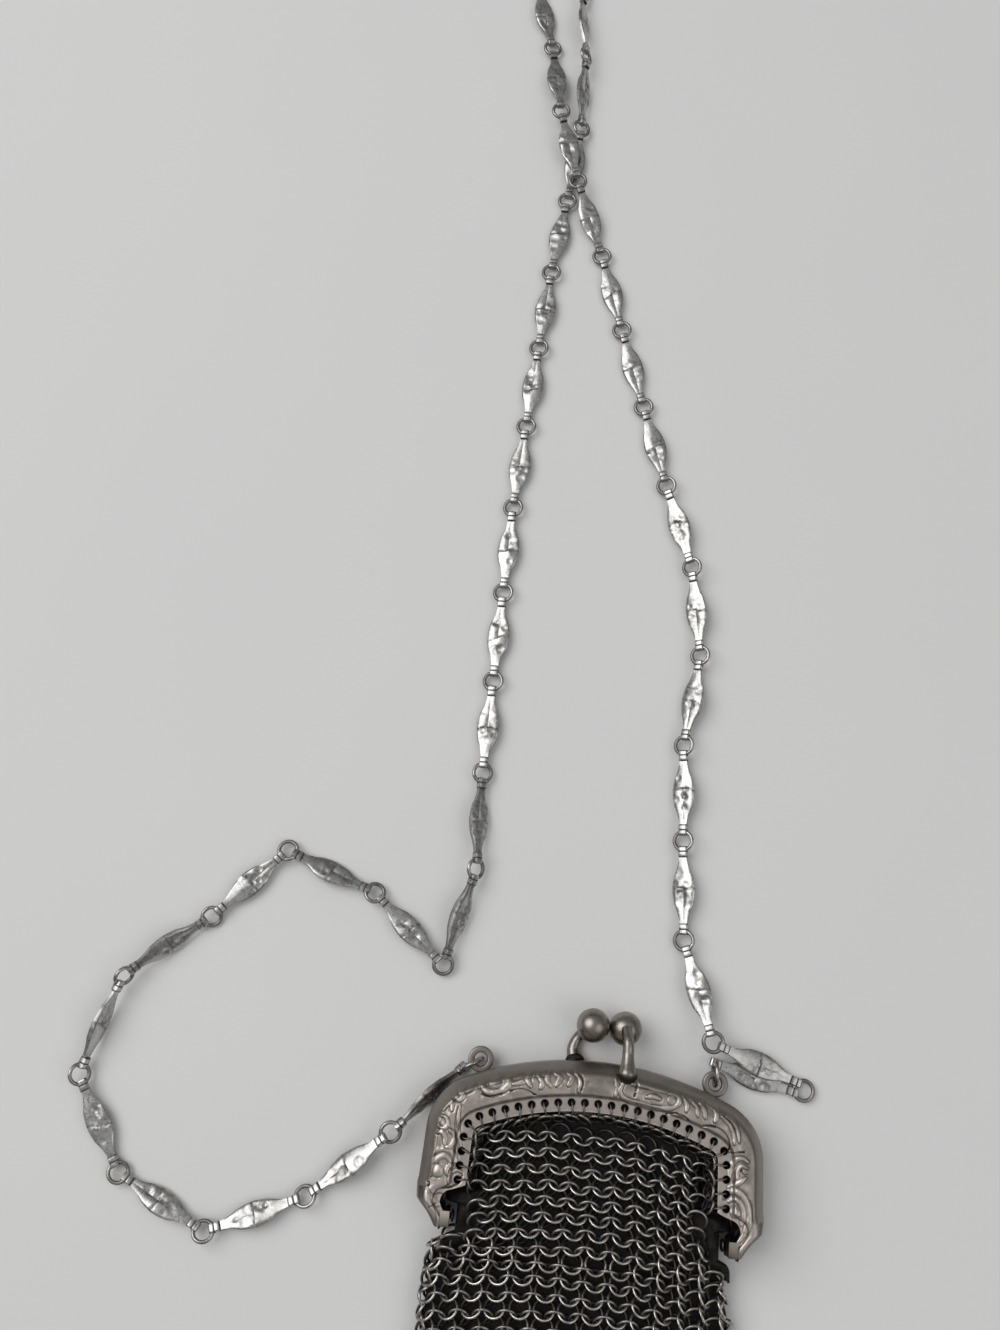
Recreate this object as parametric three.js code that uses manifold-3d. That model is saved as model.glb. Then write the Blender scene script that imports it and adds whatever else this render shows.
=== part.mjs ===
// A small ring-mesh purse lying on its back: an arched, pierced and embossed metal frame in two hinged
// halves, a kiss-lock of two crossing ball knobs, a limp pouch of ring mesh, and a long chain of
// pinched diamond links laid out round it. Millimetres; +Z is up off the surface that it lies on, +Y runs
// from the pouch to the clasp, and the origin is on that surface under the middle of the frame's open foot.
import * as THREE from "three";
import { mergeVertices } from "three/addons/utils/BufferGeometryUtils.js";
import Module from "manifold-3d";

const wasm = await Module();
wasm.setup();

const CLEARANCE = 0.3; // between separate pieces

// The frame's outer edge in plan: straight sides that lean in, round shoulders, a shallow arched top.
const FRAME_FOOT_HALF_WIDTH = 30;
const FRAME_FOOT_Y = 4;
const FRAME_SIDE_LEAN = 2.5; // degrees
const FRAME_TOP_Y = 29;
const FRAME_TOP_RADIUS = 60;
const FRAME_SHOULDER_RADIUS = 10;
const FRAME_DEPTH = 10; // both halves, closed
const SHEET = 0.7; // stamped metal
const RELIEF_HEIGHT = 0.4;

// Across one half, from its outer edge inwards.
const RIM_WALL_HEIGHT = 1.9; // from the parting plane to the bevel
const RIM_BEVEL_WIDTH = 2.3;
const FACE_WIDTH = 3; // the embossed zone
const FLANGE_STEP = 0.6;
const FLANGE_WIDTH = 2.9;
const FRAME_BAND = RIM_BEVEL_WIDTH + FACE_WIDTH + FLANGE_WIDTH;

// The pierced row that the mesh hangs from.
const HOLE_COUNT = 29;
const HOLE_RADIUS = 0.6;
const HOLE_SIDES = 4;
const HOLE_TO_FLANGE_EDGE = 1.45;
const HOLE_ROW_FOOT_Y = 7.6;

// The legs below the straight sides, row by row: the outer edge as a share of the half width, how far down
// from the frame's foot as a share of the leg, and the band's width and its height as shares of their own.
const LEG_LENGTH = 4.5;
const STRAIGHT_SIDE_SHARE = 0.72; // how much of the side the full band keeps
const LEG = [
  { x: 1.0, down: -0.58, band: 0.95, rise: 1 },
  { x: 0.995, down: 0, band: 0.78, rise: 1 },
  { x: 0.925, down: 0.53, band: 0.45, rise: 0.97 },
  { x: 0.88, down: 1, band: 0.14, rise: 0.85 },
];

// The hinge inside each leg.
const HINGE_FROM_SIDE = 5.3;
const HINGE_X = FRAME_FOOT_HALF_WIDTH - HINGE_FROM_SIDE; // between its two tabs
const HINGE_Y = 1.2;
const HINGE_TAB_RADIUS = 1.6;
const HINGE_TAB_THICKNESS = 0.7;
const RIVET_RADIUS = 0.5;
const RIVET_HEAD_RADIUS = 1.1;
const RIVET_HEAD_THICKNESS = 0.5;

// The kiss-lock knobs: where each ball stands and where each stem has its foot along the frame.
const BALL_RADIUS = 2.9;
const STEM_RADIUS = 0.95;
const STEM_FOOT_RADIUS = 1.85;
const STEM_FOOT_HEIGHT = 0.8;
const BALL_BEYOND_FRAME = 6.5;
const BALL_SPACING = 6.1;
const BALL_TILT = 0.4; // each ball leans past the parting plane towards the other half
const BALL_MIDDLE_X = 1.4;
const FRONT_FOOT_X = 4.6;
const BACK_FOOT_X = -4.7;
const FRONT_FOOT_INSET = 1.5;
const BACK_FOOT_INSET = 0.9;

// The flat eyes on the back half that carry the chain.
const EYE_FROM_SIDE = 8.8;
const EYE_X = FRAME_FOOT_HALF_WIDTH - EYE_FROM_SIDE;
const EYE_BEYOND_FRAME = 2;
const EYE_OUTER_RADIUS = 2.3;
const EYE_HOLE_RADIUS = 1.15;
const EYE_THICKNESS = 1.1;
const EYE_Z = 2.65;

// The pouch: two sheets of ring mesh, open between the hinges and folded round the rest.
const MESH_THICKNESS = 1.7;
const POUCH_HALF_WIDTH = FRAME_FOOT_HALF_WIDTH - 5 * CLEARANCE;
const POUCH_LENGTH = 43; // below the hinge line
const POUCH_NECK_HALF_WIDTH = HINGE_X - 7 * CLEARANCE; // clear of the rivets' heads
const POUCH_MOUTH_FOOT_Y = -2.4; // where the pouch narrows to go between the hinges
const POUCH_SAG = 0.8; // the front sheet's, in the mouth
const POUCH_MOUTH_HEIGHT = 8.9; // over the front sheet where it meets the flange
const POUCH_FLAT_HEIGHT = 3.9;

// The chain.
const LINK_PITCH = 18.5; // from ring to ring
const LINK_WIDTH = 4.4;
const LINK_THICKNESS = 1.25;
const LINK_END_WIDTH = 1.6;
const LINK_END_THICKNESS = 1.45;
const RING_RADIUS = 1.75;
const RING_WIRE_RADIUS = 0.36;
const RING_SIDES = 10;
const WIRE_SIDES = 5;
const END_RING_RADIUS = 2.2;
const END_RING_DROP = 40; // degrees below level, where the first link holds the end ring
const LEFT_END_RING_HEADING = 210; // degrees from +X, the way that each end ring stands from its eye
const RIGHT_END_RING_HEADING = 92;

// The chain's rings where the chain bends, from the left eye round to the right one: x from the frame's left
// (-1) or right (1) side and y from its top, in link pitches; links is how many links lead there from the
// row before, roll how far they turn on their length, and lift what they lie on, in a link end's thicknesses.
const CHAIN_ROUTE = [
  { side: -1, x: -0.314, y: -0.822, links: 1, roll: -58, lift: 0 },
  { side: -1, x: -1.016, y: -1.438, links: 1, roll: 25, lift: 0 },
  { side: -1, x: -1.946, y: -1.87, links: 1, roll: 20, lift: 0 },
  { side: -1, x: -2.87, y: -1.486, links: 1, roll: 20, lift: 0 },
  { side: -1, x: -3.405, y: -0.638, links: 1, roll: 0, lift: 0 },
  { side: -1, x: -3.13, y: 0.335, links: 1, roll: 70, lift: 0 },
  { side: -1, x: -2.384, y: 0.995, links: 1, roll: 48, lift: 0 },
  { side: -1, x: -1.686, y: 1.719, links: 1, roll: 5, lift: 0 },
  { side: -1, x: -0.795, y: 1.405, links: 1, roll: -25, lift: 0 },
  { side: -1, x: 0.011, y: 0.789, links: 1, roll: -10, lift: 0 },
  { side: -1, x: 0.222, y: 1.741, links: 1, roll: 45, lift: 0 },
  { side: -1, x: 0.195, y: 2.724, links: 1, roll: 40, lift: 0 },
  { side: -1, x: 0.216, y: 5.697, links: 3, roll: -10, lift: 0 },
  { side: -1, x: 0.373, y: 8.746, links: 3, roll: -8, lift: 0 },
  { side: -1, x: 0.481, y: 9.762, links: 1, roll: -6, lift: 0 },
  { side: -1, x: 0.562, y: 10.757, links: 1, roll: 0, lift: 0 },
  { side: -1, x: 0.524, y: 11.746, links: 1, roll: 50, lift: 0 },
  { side: -1, x: 0.427, y: 12.703, links: 1, roll: 60, lift: 0 },
  { side: -1, x: 0.514, y: 13.686, links: 1, roll: 20, lift: 0 },
  { side: -1, x: 0.595, y: 14.686, links: 1, roll: 0, lift: 0 },
  { side: 1, x: -3.243, y: 15.486, links: 1, roll: 0, lift: 0 },
  { side: 1, x: -3.838, y: 14.686, links: 1, roll: 0, lift: 0 },
  { side: 1, x: -3.746, y: 13.686, links: 1, roll: 0, lift: 0 },
  { side: 1, x: -3.405, y: 12.735, links: 1, roll: -10, lift: 0 },
  { side: 1, x: -3.146, y: 11.832, links: 1, roll: -10, lift: 0 },
  { side: 1, x: -2.93, y: 10.914, links: 1, roll: -6, lift: 1.31 },
  { side: 1, x: -2.665, y: 10, links: 1, roll: 0, lift: 1.31 },
  { side: 1, x: -2.319, y: 9.043, links: 1, roll: 0, lift: 0 },
  { side: 1, x: -1.362, y: 6.195, links: 3, roll: 8, lift: 0 },
  { side: 1, x: -1.032, y: 5.243, links: 1, roll: 25, lift: 0 },
  { side: 1, x: -0.876, y: 4.249, links: 1, roll: 30, lift: 0 },
  { side: 1, x: -0.973, y: 3.243, links: 1, roll: 32, lift: 0 },
  { side: 1, x: -0.924, y: 2.238, links: 1, roll: 30, lift: 0 },
  { side: 1, x: -0.854, y: 1.254, links: 1, roll: 28, lift: 0 },
  { side: 1, x: -0.568, y: 0.314, links: 1, roll: 15, lift: 1.79 },
  { side: 1, x: 0.373, y: -0.076, links: 1, roll: -4, lift: 0 },
];

const SETTLING_PASSES = 3000;
const LEAST_HOLD_ANGLE = 62; // degrees between the two links that one ring holds

const DEGREE = Math.PI / 180;

function material(color, roughness) {
  return new THREE.MeshStandardMaterial({ color, roughness, metalness: 1 });
}

const TARNISHED = material(0x8f8883, 0.42);
const PEWTER = material(0x7f7a74, 0.36);
const BRIGHT = material(0xc9c8c6, 0.24);
const GUNMETAL = material(0x4a4846, 0.45);

// Closed solids from three.js geometry.
function solidOf(geometry) {
  const bare = geometry.index ? geometry.clone() : mergeVertices(geometry.clone());
  bare.deleteAttribute("normal");
  bare.deleteAttribute("uv");
  const merged = mergeVertices(bare, 1e-4);
  const vertProperties = new Float32Array(merged.attributes.position.array);
  const triVerts = new Uint32Array(merged.index.array);
  return new wasm.Manifold(new wasm.Mesh({ numProp: 3, vertProperties, triVerts }));
}

function meshOf(name, solid, look) {
  const { vertProperties, triVerts } = solid.getMesh();
  const geometry = new THREE.BufferGeometry();
  geometry.setAttribute("position", new THREE.BufferAttribute(vertProperties, 3));
  geometry.setIndex(new THREE.BufferAttribute(triVerts, 1));
  geometry.computeVertexNormals();
  const mesh = new THREE.Mesh(geometry, look);
  mesh.name = name;
  return mesh;
}

// A solid through closed sections of equal point counts; outline is one section flattened, for its ends.
function loft(sections, outline) {
  const count = outline.length;
  const positions = sections.flat().flatMap((point) => [point.x, point.y, point.z]);
  const index = [];
  for (let row = 0; row + 1 < sections.length; row += 1) {
    for (let i = 0; i < count; i += 1) {
      const a = row * count + i;
      const b = row * count + ((i + 1) % count);
      index.push(a, b, b + count, a, b + count, a + count);
    }
  }
  const last = (sections.length - 1) * count;
  const turn = THREE.ShapeUtils.isClockWise(outline) ? -1 : 1;
  for (const [i, j, k] of THREE.ShapeUtils.triangulateShape(outline, [])) {
    const [p, q] = turn > 0 ? [j, k] : [k, j];
    index.push(i, q, p, last + i, last + p, last + q);
  }
  if (enclosed(positions, index) < 0) {
    for (let i = 0; i < index.length; i += 3) {
      [index[i + 1], index[i + 2]] = [index[i + 2], index[i + 1]];
    }
  }
  const geometry = new THREE.BufferGeometry();
  geometry.setAttribute("position", new THREE.Float32BufferAttribute(positions, 3));
  geometry.setIndex(index);
  return solidOf(geometry);
}

function enclosed(positions, index) {
  const corner = (i) => new THREE.Vector3().fromArray(positions, 3 * i);
  let volume = 0;
  for (let i = 0; i < index.length; i += 3) {
    const [a, b, c] = [corner(index[i]), corner(index[i + 1]), corner(index[i + 2])];
    volume += a.dot(b.cross(c)) / 6;
  }
  return volume;
}

function cylinder(radius, length, sides, place) {
  const geometry = new THREE.CylinderGeometry(radius, radius, length, sides);
  return solidOf(geometry.applyMatrix4(place));
}

// Where a thing stands: its middle, and the way that a cylinder's axis points.
function facing(middle, axis) {
  const turn = new THREE.Quaternion().setFromUnitVectors(new THREE.Vector3(0, 1, 0), axis);
  return new THREE.Matrix4().compose(middle, turn, new THREE.Vector3(1, 1, 1));
}

// The frame's outer edge as one curve, measured along itself from the middle of the top.
const lean = FRAME_SIDE_LEAN * DEGREE;
const topCentre = new THREE.Vector2(0, FRAME_TOP_Y - FRAME_TOP_RADIUS);
const sideFoot = new THREE.Vector2(FRAME_FOOT_HALF_WIDTH, FRAME_FOOT_Y);
const sideUp = new THREE.Vector2(-Math.sin(lean), Math.cos(lean));
const sideOut = new THREE.Vector2(Math.cos(lean), Math.sin(lean));

function shoulderCentre() {
  const start = sideFoot.clone().addScaledVector(sideOut, -FRAME_SHOULDER_RADIUS).sub(topCentre);
  const reach = FRAME_TOP_RADIUS - FRAME_SHOULDER_RADIUS;
  const along = start.dot(sideUp);
  const sideLength = -along + Math.sqrt(along ** 2 - start.lengthSq() + reach ** 2);
  const centre = start.addScaledVector(sideUp, sideLength).add(topCentre);
  return { centre, sideLength };
}

const { centre: shoulder, sideLength } = shoulderCentre();
const topTurn = Math.atan2(shoulder.x - topCentre.x, shoulder.y - topCentre.y);
const shoulderTurn = Math.PI / 2 - lean - topTurn;

// A point on the band: distance runs along the line at this inset from the outer edge, signed as x is.
function bandPoint(distance, inset) {
  const side = Math.sign(distance) || 1;
  let left = Math.abs(distance);
  const topLength = topTurn * (FRAME_TOP_RADIUS - inset);
  const shoulderLength = shoulderTurn * (FRAME_SHOULDER_RADIUS - inset);
  const out = new THREE.Vector2();
  const point = new THREE.Vector2();
  if (left <= topLength) {
    const angle = left / (FRAME_TOP_RADIUS - inset);
    out.set(Math.sin(angle), Math.cos(angle));
    point.copy(topCentre).addScaledVector(out, FRAME_TOP_RADIUS - inset);
  } else if (left <= topLength + shoulderLength) {
    const angle = topTurn + (left - topLength) / (FRAME_SHOULDER_RADIUS - inset);
    out.set(Math.sin(angle), Math.cos(angle));
    point.copy(shoulder).addScaledVector(out, FRAME_SHOULDER_RADIUS - inset);
  } else {
    left -= topLength + shoulderLength;
    out.copy(sideOut);
    point.copy(shoulder).addScaledVector(out, FRAME_SHOULDER_RADIUS - inset).addScaledVector(sideUp, -left);
  }
  point.x *= side;
  out.x *= side;
  return { point, out };
}

function insetLength(inset, footY) {
  const turning = topTurn * (FRAME_TOP_RADIUS - inset) + shoulderTurn * (FRAME_SHOULDER_RADIUS - inset);
  const shoulderFoot = shoulder.y + (FRAME_SHOULDER_RADIUS - inset) * sideOut.y;
  return turning + (shoulderFoot - footY) / sideUp.y;
}

// One half's section: inset from the outer edge, height over the parting plane. The front half's face lies
// lower by its raised scrolls; the back half's is plain, and the purse rests on it.
const HALF_DEPTH = FRAME_DEPTH / 2;
const FLANGE_INSET = FRAME_BAND - FLANGE_WIDTH;

function faceHeight(facingUp) {
  return facingUp > 0 ? HALF_DEPTH - RELIEF_HEIGHT : HALF_DEPTH;
}

function halfSection(facingUp) {
  const face = faceHeight(facingUp);
  const flangeHeight = face - FLANGE_STEP;
  return [
    [0, CLEARANCE / 2],
    [0, RIM_WALL_HEIGHT],
    [RIM_BEVEL_WIDTH, face],
    [FLANGE_INSET, face],
    [FLANGE_INSET + FLANGE_STEP / 2, flangeHeight],
    [FRAME_BAND, flangeHeight],
    [FRAME_BAND, flangeHeight - SHEET],
    [RIM_BEVEL_WIDTH + SHEET / 3, face - SHEET],
    [SHEET, RIM_WALL_HEIGHT - SHEET / 2],
    [SHEET, CLEARANCE / 2],
  ].map(([inset, height]) => new THREE.Vector2(inset, height));
}

// Which way a half faces: up for the front one, down for the back one.
function heightAt(facingUp, height) {
  return HALF_DEPTH + facingUp * height;
}

function legSection(row, side, facingUp, section) {
  const narrow = (row.band * FRAME_BAND - SHEET) / (FRAME_BAND - SHEET);
  return section.map(({ x: inset, y: height }) => {
    const kept = Math.min(inset, SHEET);
    const across = kept + (inset - kept) * narrow;
    const x = side * (row.x * FRAME_FOOT_HALF_WIDTH - across);
    return new THREE.Vector3(x, FRAME_FOOT_Y - row.down * LEG_LENGTH, heightAt(facingUp, height * row.rise));
  });
}

function bandSection(distance, facingUp, section) {
  const { point, out } = bandPoint(distance, 0);
  return section.map(({ x: inset, y: height }) => {
    const place = point.clone().addScaledVector(out, -inset);
    return new THREE.Vector3(place.x, place.y, heightAt(facingUp, height));
  });
}

function halfShell(facingUp) {
  const section = halfSection(facingUp);
  const topLength = topTurn * FRAME_TOP_RADIUS;
  const shoulderEnd = topLength + shoulderTurn * FRAME_SHOULDER_RADIUS;
  const stops = [];
  const steps = (from, to, count) => {
    for (let i = 0; i < count; i += 1) stops.push(from + ((to - from) * i) / count);
  };
  const sideEnd = shoulderEnd + STRAIGHT_SIDE_SHARE * sideLength;
  steps(sideEnd, shoulderEnd, 1);
  steps(shoulderEnd, topLength, 4);
  steps(topLength, -topLength, 8);
  steps(-topLength, -shoulderEnd, 4);
  stops.push(-shoulderEnd, -sideEnd);
  const right = LEG.map((row) => legSection(row, 1, facingUp, section)).reverse();
  const left = LEG.map((row) => legSection(row, -1, facingUp, section));
  const middle = stops.map((distance) => bandSection(distance, facingUp, section));
  return loft([...right, ...middle, ...left], section);
}

function holes(facingUp) {
  const inset = FRAME_BAND - HOLE_TO_FLANGE_EDGE;
  const reach = insetLength(inset, HOLE_ROW_FOOT_Y);
  const z = heightAt(facingUp, faceHeight(facingUp) - FLANGE_STEP - SHEET / 2);
  const cuts = [];
  for (let i = 0; i < HOLE_COUNT; i += 1) {
    const { point } = bandPoint(reach * ((2 * i) / (HOLE_COUNT - 1) - 1), inset);
    const place = facing(new THREE.Vector3(point.x, point.y, z), new THREE.Vector3(0, 0, 1));
    cuts.push(cylinder(HOLE_RADIUS, 3 * SHEET, HOLE_SIDES, place));
  }
  return cuts;
}

// The raised scrolls, for one side of the front half: at is the share of the way from the top's middle to the
// foot, size and start are its radius as a share of the face's width and its first angle, turn its sweep.
const SCROLLS = [
  { at: 0.24, size: 0.34, start: 200, turn: 230, lead: 0.5 },
  { at: 0.42, size: 0.38, start: 20, turn: -250, lead: 0.5 },
  { at: 0.6, size: 0.38, start: 160, turn: 240, lead: 0.5 },
  { at: 0.77, size: 0.36, start: 30, turn: -240, lead: 0.5 },
  { at: 0.93, size: 0.45, start: 210, turn: 250, lead: 0.55 },
];
const SCROLL_STEPS = 4;
const SCROLL_HALF_WIDTH = 0.36;

function scroll(row, side) {
  const inset = RIM_BEVEL_WIDTH + row.lead * FACE_WIDTH;
  const { point, out } = bandPoint(side * row.at * insetLength(inset, FRAME_FOOT_Y), inset);
  const across = new THREE.Vector2(-out.y, out.x).multiplyScalar(side);
  const place = (angle, radius, height) => {
    const flat = point.clone();
    flat.addScaledVector(across, Math.cos(angle) * radius);
    flat.addScaledVector(out, Math.sin(angle) * radius);
    return new THREE.Vector3(flat.x, flat.y, HALF_DEPTH + height);
  };
  const sections = [];
  for (let i = 0; i <= SCROLL_STEPS; i += 1) {
    const share = i / SCROLL_STEPS;
    const angle = (row.start + row.turn * share) * DEGREE;
    const radius = row.size * FACE_WIDTH * (1 - 0.45 * share);
    const half = SCROLL_HALF_WIDTH * (0.35 + 0.65 * Math.sin(Math.PI * (0.15 + 0.7 * share)));
    const foot = faceHeight(1) - SHEET / 3;
    const crest = faceHeight(1) + RELIEF_HEIGHT;
    sections.push([place(angle, radius + half, foot), place(angle, radius, crest),
      place(angle, radius - half, foot)]);
  }
  return loft(sections, [new THREE.Vector2(1, 0), new THREE.Vector2(0, 1), new THREE.Vector2(-1, 0)]);
}

// A round tab that hangs from the leg past the parting plane, drilled for the rivet.
function hingeTab(side, facingUp, outer) {
  const offset = (outer ? 1 : -1) * (CLEARANCE + HINGE_TAB_THICKNESS) / 2;
  const x = side * (HINGE_X + offset);
  const alongX = new THREE.Vector3(1, 0, 0);
  const middle = new THREE.Vector3(x, HINGE_Y, HALF_DEPTH);
  const round = cylinder(HINGE_TAB_RADIUS, HINGE_TAB_THICKNESS, 12, facing(middle, alongX));
  const height = faceHeight(facingUp) * LEG[2].rise - SHEET / 2;
  const neck = new THREE.BoxGeometry(HINGE_TAB_THICKNESS, 1.6 * HINGE_TAB_RADIUS, height);
  neck.translate(x, HINGE_Y, heightAt(facingUp, height / 2));
  const drill = cylinder(RIVET_RADIUS + CLEARANCE, 3 * HINGE_TAB_THICKNESS, 10, facing(middle, alongX));
  return { tab: round.add(solidOf(neck)), drill };
}

function rivet(side) {
  const alongX = new THREE.Vector3(side, 0, 0);
  const shank = 2 * HINGE_TAB_THICKNESS + 2 * CLEARANCE;
  const middle = new THREE.Vector3(side * (HINGE_X - CLEARANCE / 2), HINGE_Y, HALF_DEPTH);
  const pin = cylinder(RIVET_RADIUS, shank, 10, facing(middle, alongX));
  const inner = HINGE_X - 1.5 * CLEARANCE - HINGE_TAB_THICKNESS - RIVET_HEAD_THICKNESS / 2;
  const head = new THREE.Vector3(side * inner, HINGE_Y, HALF_DEPTH);
  return pin.add(cylinder(RIVET_HEAD_RADIUS, RIVET_HEAD_THICKNESS, 10, facing(head, alongX)));
}

// The eyes, and the point of each that its ring passes through.
function eyeCentre(side) {
  const distance = Math.asin(EYE_X / (FRAME_TOP_RADIUS + EYE_BEYOND_FRAME)) * FRAME_TOP_RADIUS;
  const { point, out } = bandPoint(side * distance, 0);
  point.addScaledVector(out, EYE_BEYOND_FRAME);
  return { middle: new THREE.Vector3(point.x, point.y, EYE_Z), out };
}

function eye(side) {
  const { middle, out } = eyeCentre(side);
  const up = new THREE.Vector3(0, 0, 1);
  const disc = cylinder(EYE_OUTER_RADIUS, EYE_THICKNESS, 14, facing(middle, up));
  const root = new THREE.BoxGeometry(1.5 * EYE_OUTER_RADIUS, EYE_BEYOND_FRAME + SHEET / 2, EYE_THICKNESS);
  root.translate(0, -(EYE_BEYOND_FRAME + SHEET / 2) / 2, 0);
  root.rotateZ(Math.atan2(out.y, out.x) - Math.PI / 2);
  root.translate(middle.x, middle.y, middle.z);
  const hole = cylinder(EYE_HOLE_RADIUS, 2 * EYE_THICKNESS, 10, facing(middle, up));
  return disc.add(solidOf(root)).subtract(hole);
}

function frameHalf(facingUp) {
  let half = halfShell(facingUp);
  for (const side of [-1, 1]) {
    if (facingUp > 0) for (const row of SCROLLS) half = half.add(scroll(row, side));
    const { tab, drill } = hingeTab(side, facingUp, facingUp < 0);
    half = half.add(tab).subtract(drill);
    if (facingUp < 0) half = half.add(eye(side));
  }
  for (const cut of holes(facingUp)) half = half.subtract(cut);
  return half;
}

// A knob: a flared foot on the bevel, a stem that bends over the other half, and its ball.
function knob(facingUp) {
  const side = facingUp;
  const face = faceHeight(facingUp);
  const footX = facingUp > 0 ? FRONT_FOOT_X : BACK_FOOT_X;
  const footInset = facingUp > 0 ? FRONT_FOOT_INSET : BACK_FOOT_INSET;
  const bevel = new THREE.Vector2(face - RIM_WALL_HEIGHT, RIM_BEVEL_WIDTH).normalize();
  const seatHeight = RIM_WALL_HEIGHT + ((face - RIM_WALL_HEIGHT) * footInset) / RIM_BEVEL_WIDTH;
  const seatX = Math.asin(footX / FRAME_TOP_RADIUS) * FRAME_TOP_RADIUS;
  const { point, out: outward } = bandPoint(seatX, footInset);
  const out = new THREE.Vector3(outward.x * bevel.x, outward.y * bevel.x, facingUp * bevel.y);
  const seat = new THREE.Vector3(point.x, point.y, heightAt(facingUp, seatHeight));
  seat.addScaledVector(out, 1.5 * CLEARANCE);
  const ball = new THREE.Vector3(BALL_MIDDLE_X + (side * BALL_SPACING) / 2,
    FRAME_TOP_Y + BALL_BEYOND_FRAME, heightAt(facingUp, -BALL_TILT));
  const bend = (x, beyond, height) => new THREE.Vector3(x, FRAME_TOP_Y + beyond, heightAt(facingUp, height));
  const path = new THREE.CatmullRomCurve3([
    seat.clone().addScaledVector(out, STEM_FOOT_HEIGHT / 2),
    bend(seat.x, 0.3 * BALL_BEYOND_FRAME, HALF_DEPTH - 1.1 * STEM_RADIUS),
    bend(0.6 * seat.x + 0.4 * ball.x, 0.66 * BALL_BEYOND_FRAME, HALF_DEPTH - 1.3 * STEM_RADIUS),
    bend(ball.x, BALL_BEYOND_FRAME, 0.85 * BALL_RADIUS - BALL_TILT),
  ]);
  const round = new THREE.Shape().absarc(0, 0, STEM_RADIUS, 0, 2 * Math.PI, false);
  const stemShape = new THREE.Shape(round.getPoints(4).slice(0, 8));
  const stem = new THREE.ExtrudeGeometry(stemShape, { steps: 5, extrudePath: path, bevelEnabled: false });
  const foot = new THREE.CylinderGeometry(STEM_RADIUS, STEM_FOOT_RADIUS, STEM_FOOT_HEIGHT, 8);
  const footMiddle = seat.clone().addScaledVector(out, STEM_FOOT_HEIGHT / 2);
  foot.applyMatrix4(facing(footMiddle, out));
  const sphere = new THREE.SphereGeometry(BALL_RADIUS, 12, 7).translate(ball.x, ball.y, ball.z);
  return solidOf(stem).add(solidOf(foot)).add(solidOf(sphere));
}

// The pouch. Below the hinge line each row gives y, half the width, the fold's height and the middle's
// height as shares of the pouch's length, half width, flat height and mouth height, and a sideways shift
// as a share of the half width.
const POUCH_ROWS = [
  { down: 1.0, wide: 0.42, fold: 1, middle: 0.44, shift: 0 },
  { down: 0.975, wide: 0.62, fold: 1, middle: 0.47, shift: 0 },
  { down: 0.91, wide: 0.8, fold: 1, middle: 0.5, shift: 0 },
  { down: 0.8, wide: 0.93, fold: 1, middle: 0.52, shift: 0 },
  { down: 0.65, wide: 0.99, fold: 1, middle: 0.54, shift: -0.011 },
  { down: 0.45, wide: 0.985, fold: 1, middle: 0.6, shift: -0.014 },
  { down: 0.28, wide: 0.96, fold: 1.02, middle: 0.68, shift: -0.018 },
  { down: 0.16, wide: 0.93, fold: 1.1, middle: 0.77, shift: -0.042 },
  { down: 0.098, wide: 0.905, fold: 1.3, middle: 0.83, shift: -0.049 },
];

// A section of the pouch: a flat back, and a front that rises from the fold to the middle.
function pouchSection({ y, halfWidth, fold, middle, shift, sharp }, inside) {
  const wall = inside ? MESH_THICKNESS : 0;
  const half = halfWidth + (inside ? (sharp ? MESH_THICKNESS : -MESH_THICKNESS) : 0);
  const shares = [-1, -0.92, -0.6, 0, 0.6, 0.92, 1];
  const floor = [-1, 0, 1].map((u) => new THREE.Vector3(shift + u * half, y, wall));
  const roof = shares.map((u) => {
    const rise = sharp ? 1 - u ** 2 : 1 - u ** 4;
    return new THREE.Vector3(shift + u * half, y, fold + (middle - fold) * rise - wall);
  });
  return [...floor, ...roof.reverse()];
}

// The sheets' edge inside the frame, clear of the flange, at one height of the arch.
function mouthHalfWidth(y) {
  const reach = FRAME_TOP_RADIUS - FRAME_BAND - CLEARANCE;
  const arch = Math.sqrt(Math.max(reach ** 2 - (y - topCentre.y) ** 2, 1));
  const side = sideFoot.x - FRAME_BAND - CLEARANCE - (y - FRAME_FOOT_Y) * Math.tan(lean);
  return Math.min(arch, side);
}

function pouch() {
  const rows = POUCH_ROWS.map((row) => ({
    y: -row.down * POUCH_LENGTH,
    halfWidth: row.wide * POUCH_HALF_WIDTH,
    fold: row.fold * POUCH_FLAT_HEIGHT,
    middle: row.middle * POUCH_MOUTH_HEIGHT,
    shift: row.shift * POUCH_HALF_WIDTH,
    sharp: false,
  }));
  const mouth = (y, halfWidth) => ({
    y, halfWidth, fold: POUCH_MOUTH_HEIGHT, middle: POUCH_MOUTH_HEIGHT - POUCH_SAG, shift: 0, sharp: true,
  });
  rows.push(mouth(POUCH_MOUTH_FOOT_Y, POUCH_NECK_HALF_WIDTH));
  rows.push(mouth(FRAME_FOOT_Y, Math.min(POUCH_NECK_HALF_WIDTH, mouthHalfWidth(FRAME_FOOT_Y))));
  const archTop = FRAME_TOP_Y - FRAME_BAND - CLEARANCE;
  for (const share of [0.45, 0.74, 0.86, 0.94, 0.985]) {
    const y = FRAME_FOOT_Y + (archTop - FRAME_FOOT_Y) * share;
    rows.push(mouth(y, mouthHalfWidth(y)));
  }
  const flat = (section) => section.map((point) => new THREE.Vector2(point.x, point.z));
  const outside = rows.map((row) => pouchSection(row, false));
  const inner = rows.slice(1).map((row) => pouchSection(row, true));
  const beyond = { ...rows[rows.length - 1], y: archTop + 2 * CLEARANCE };
  inner.push(pouchSection(beyond, true));
  return loft(outside, flat(outside[0])).subtract(loft(inner, flat(inner[0])));
}

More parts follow.
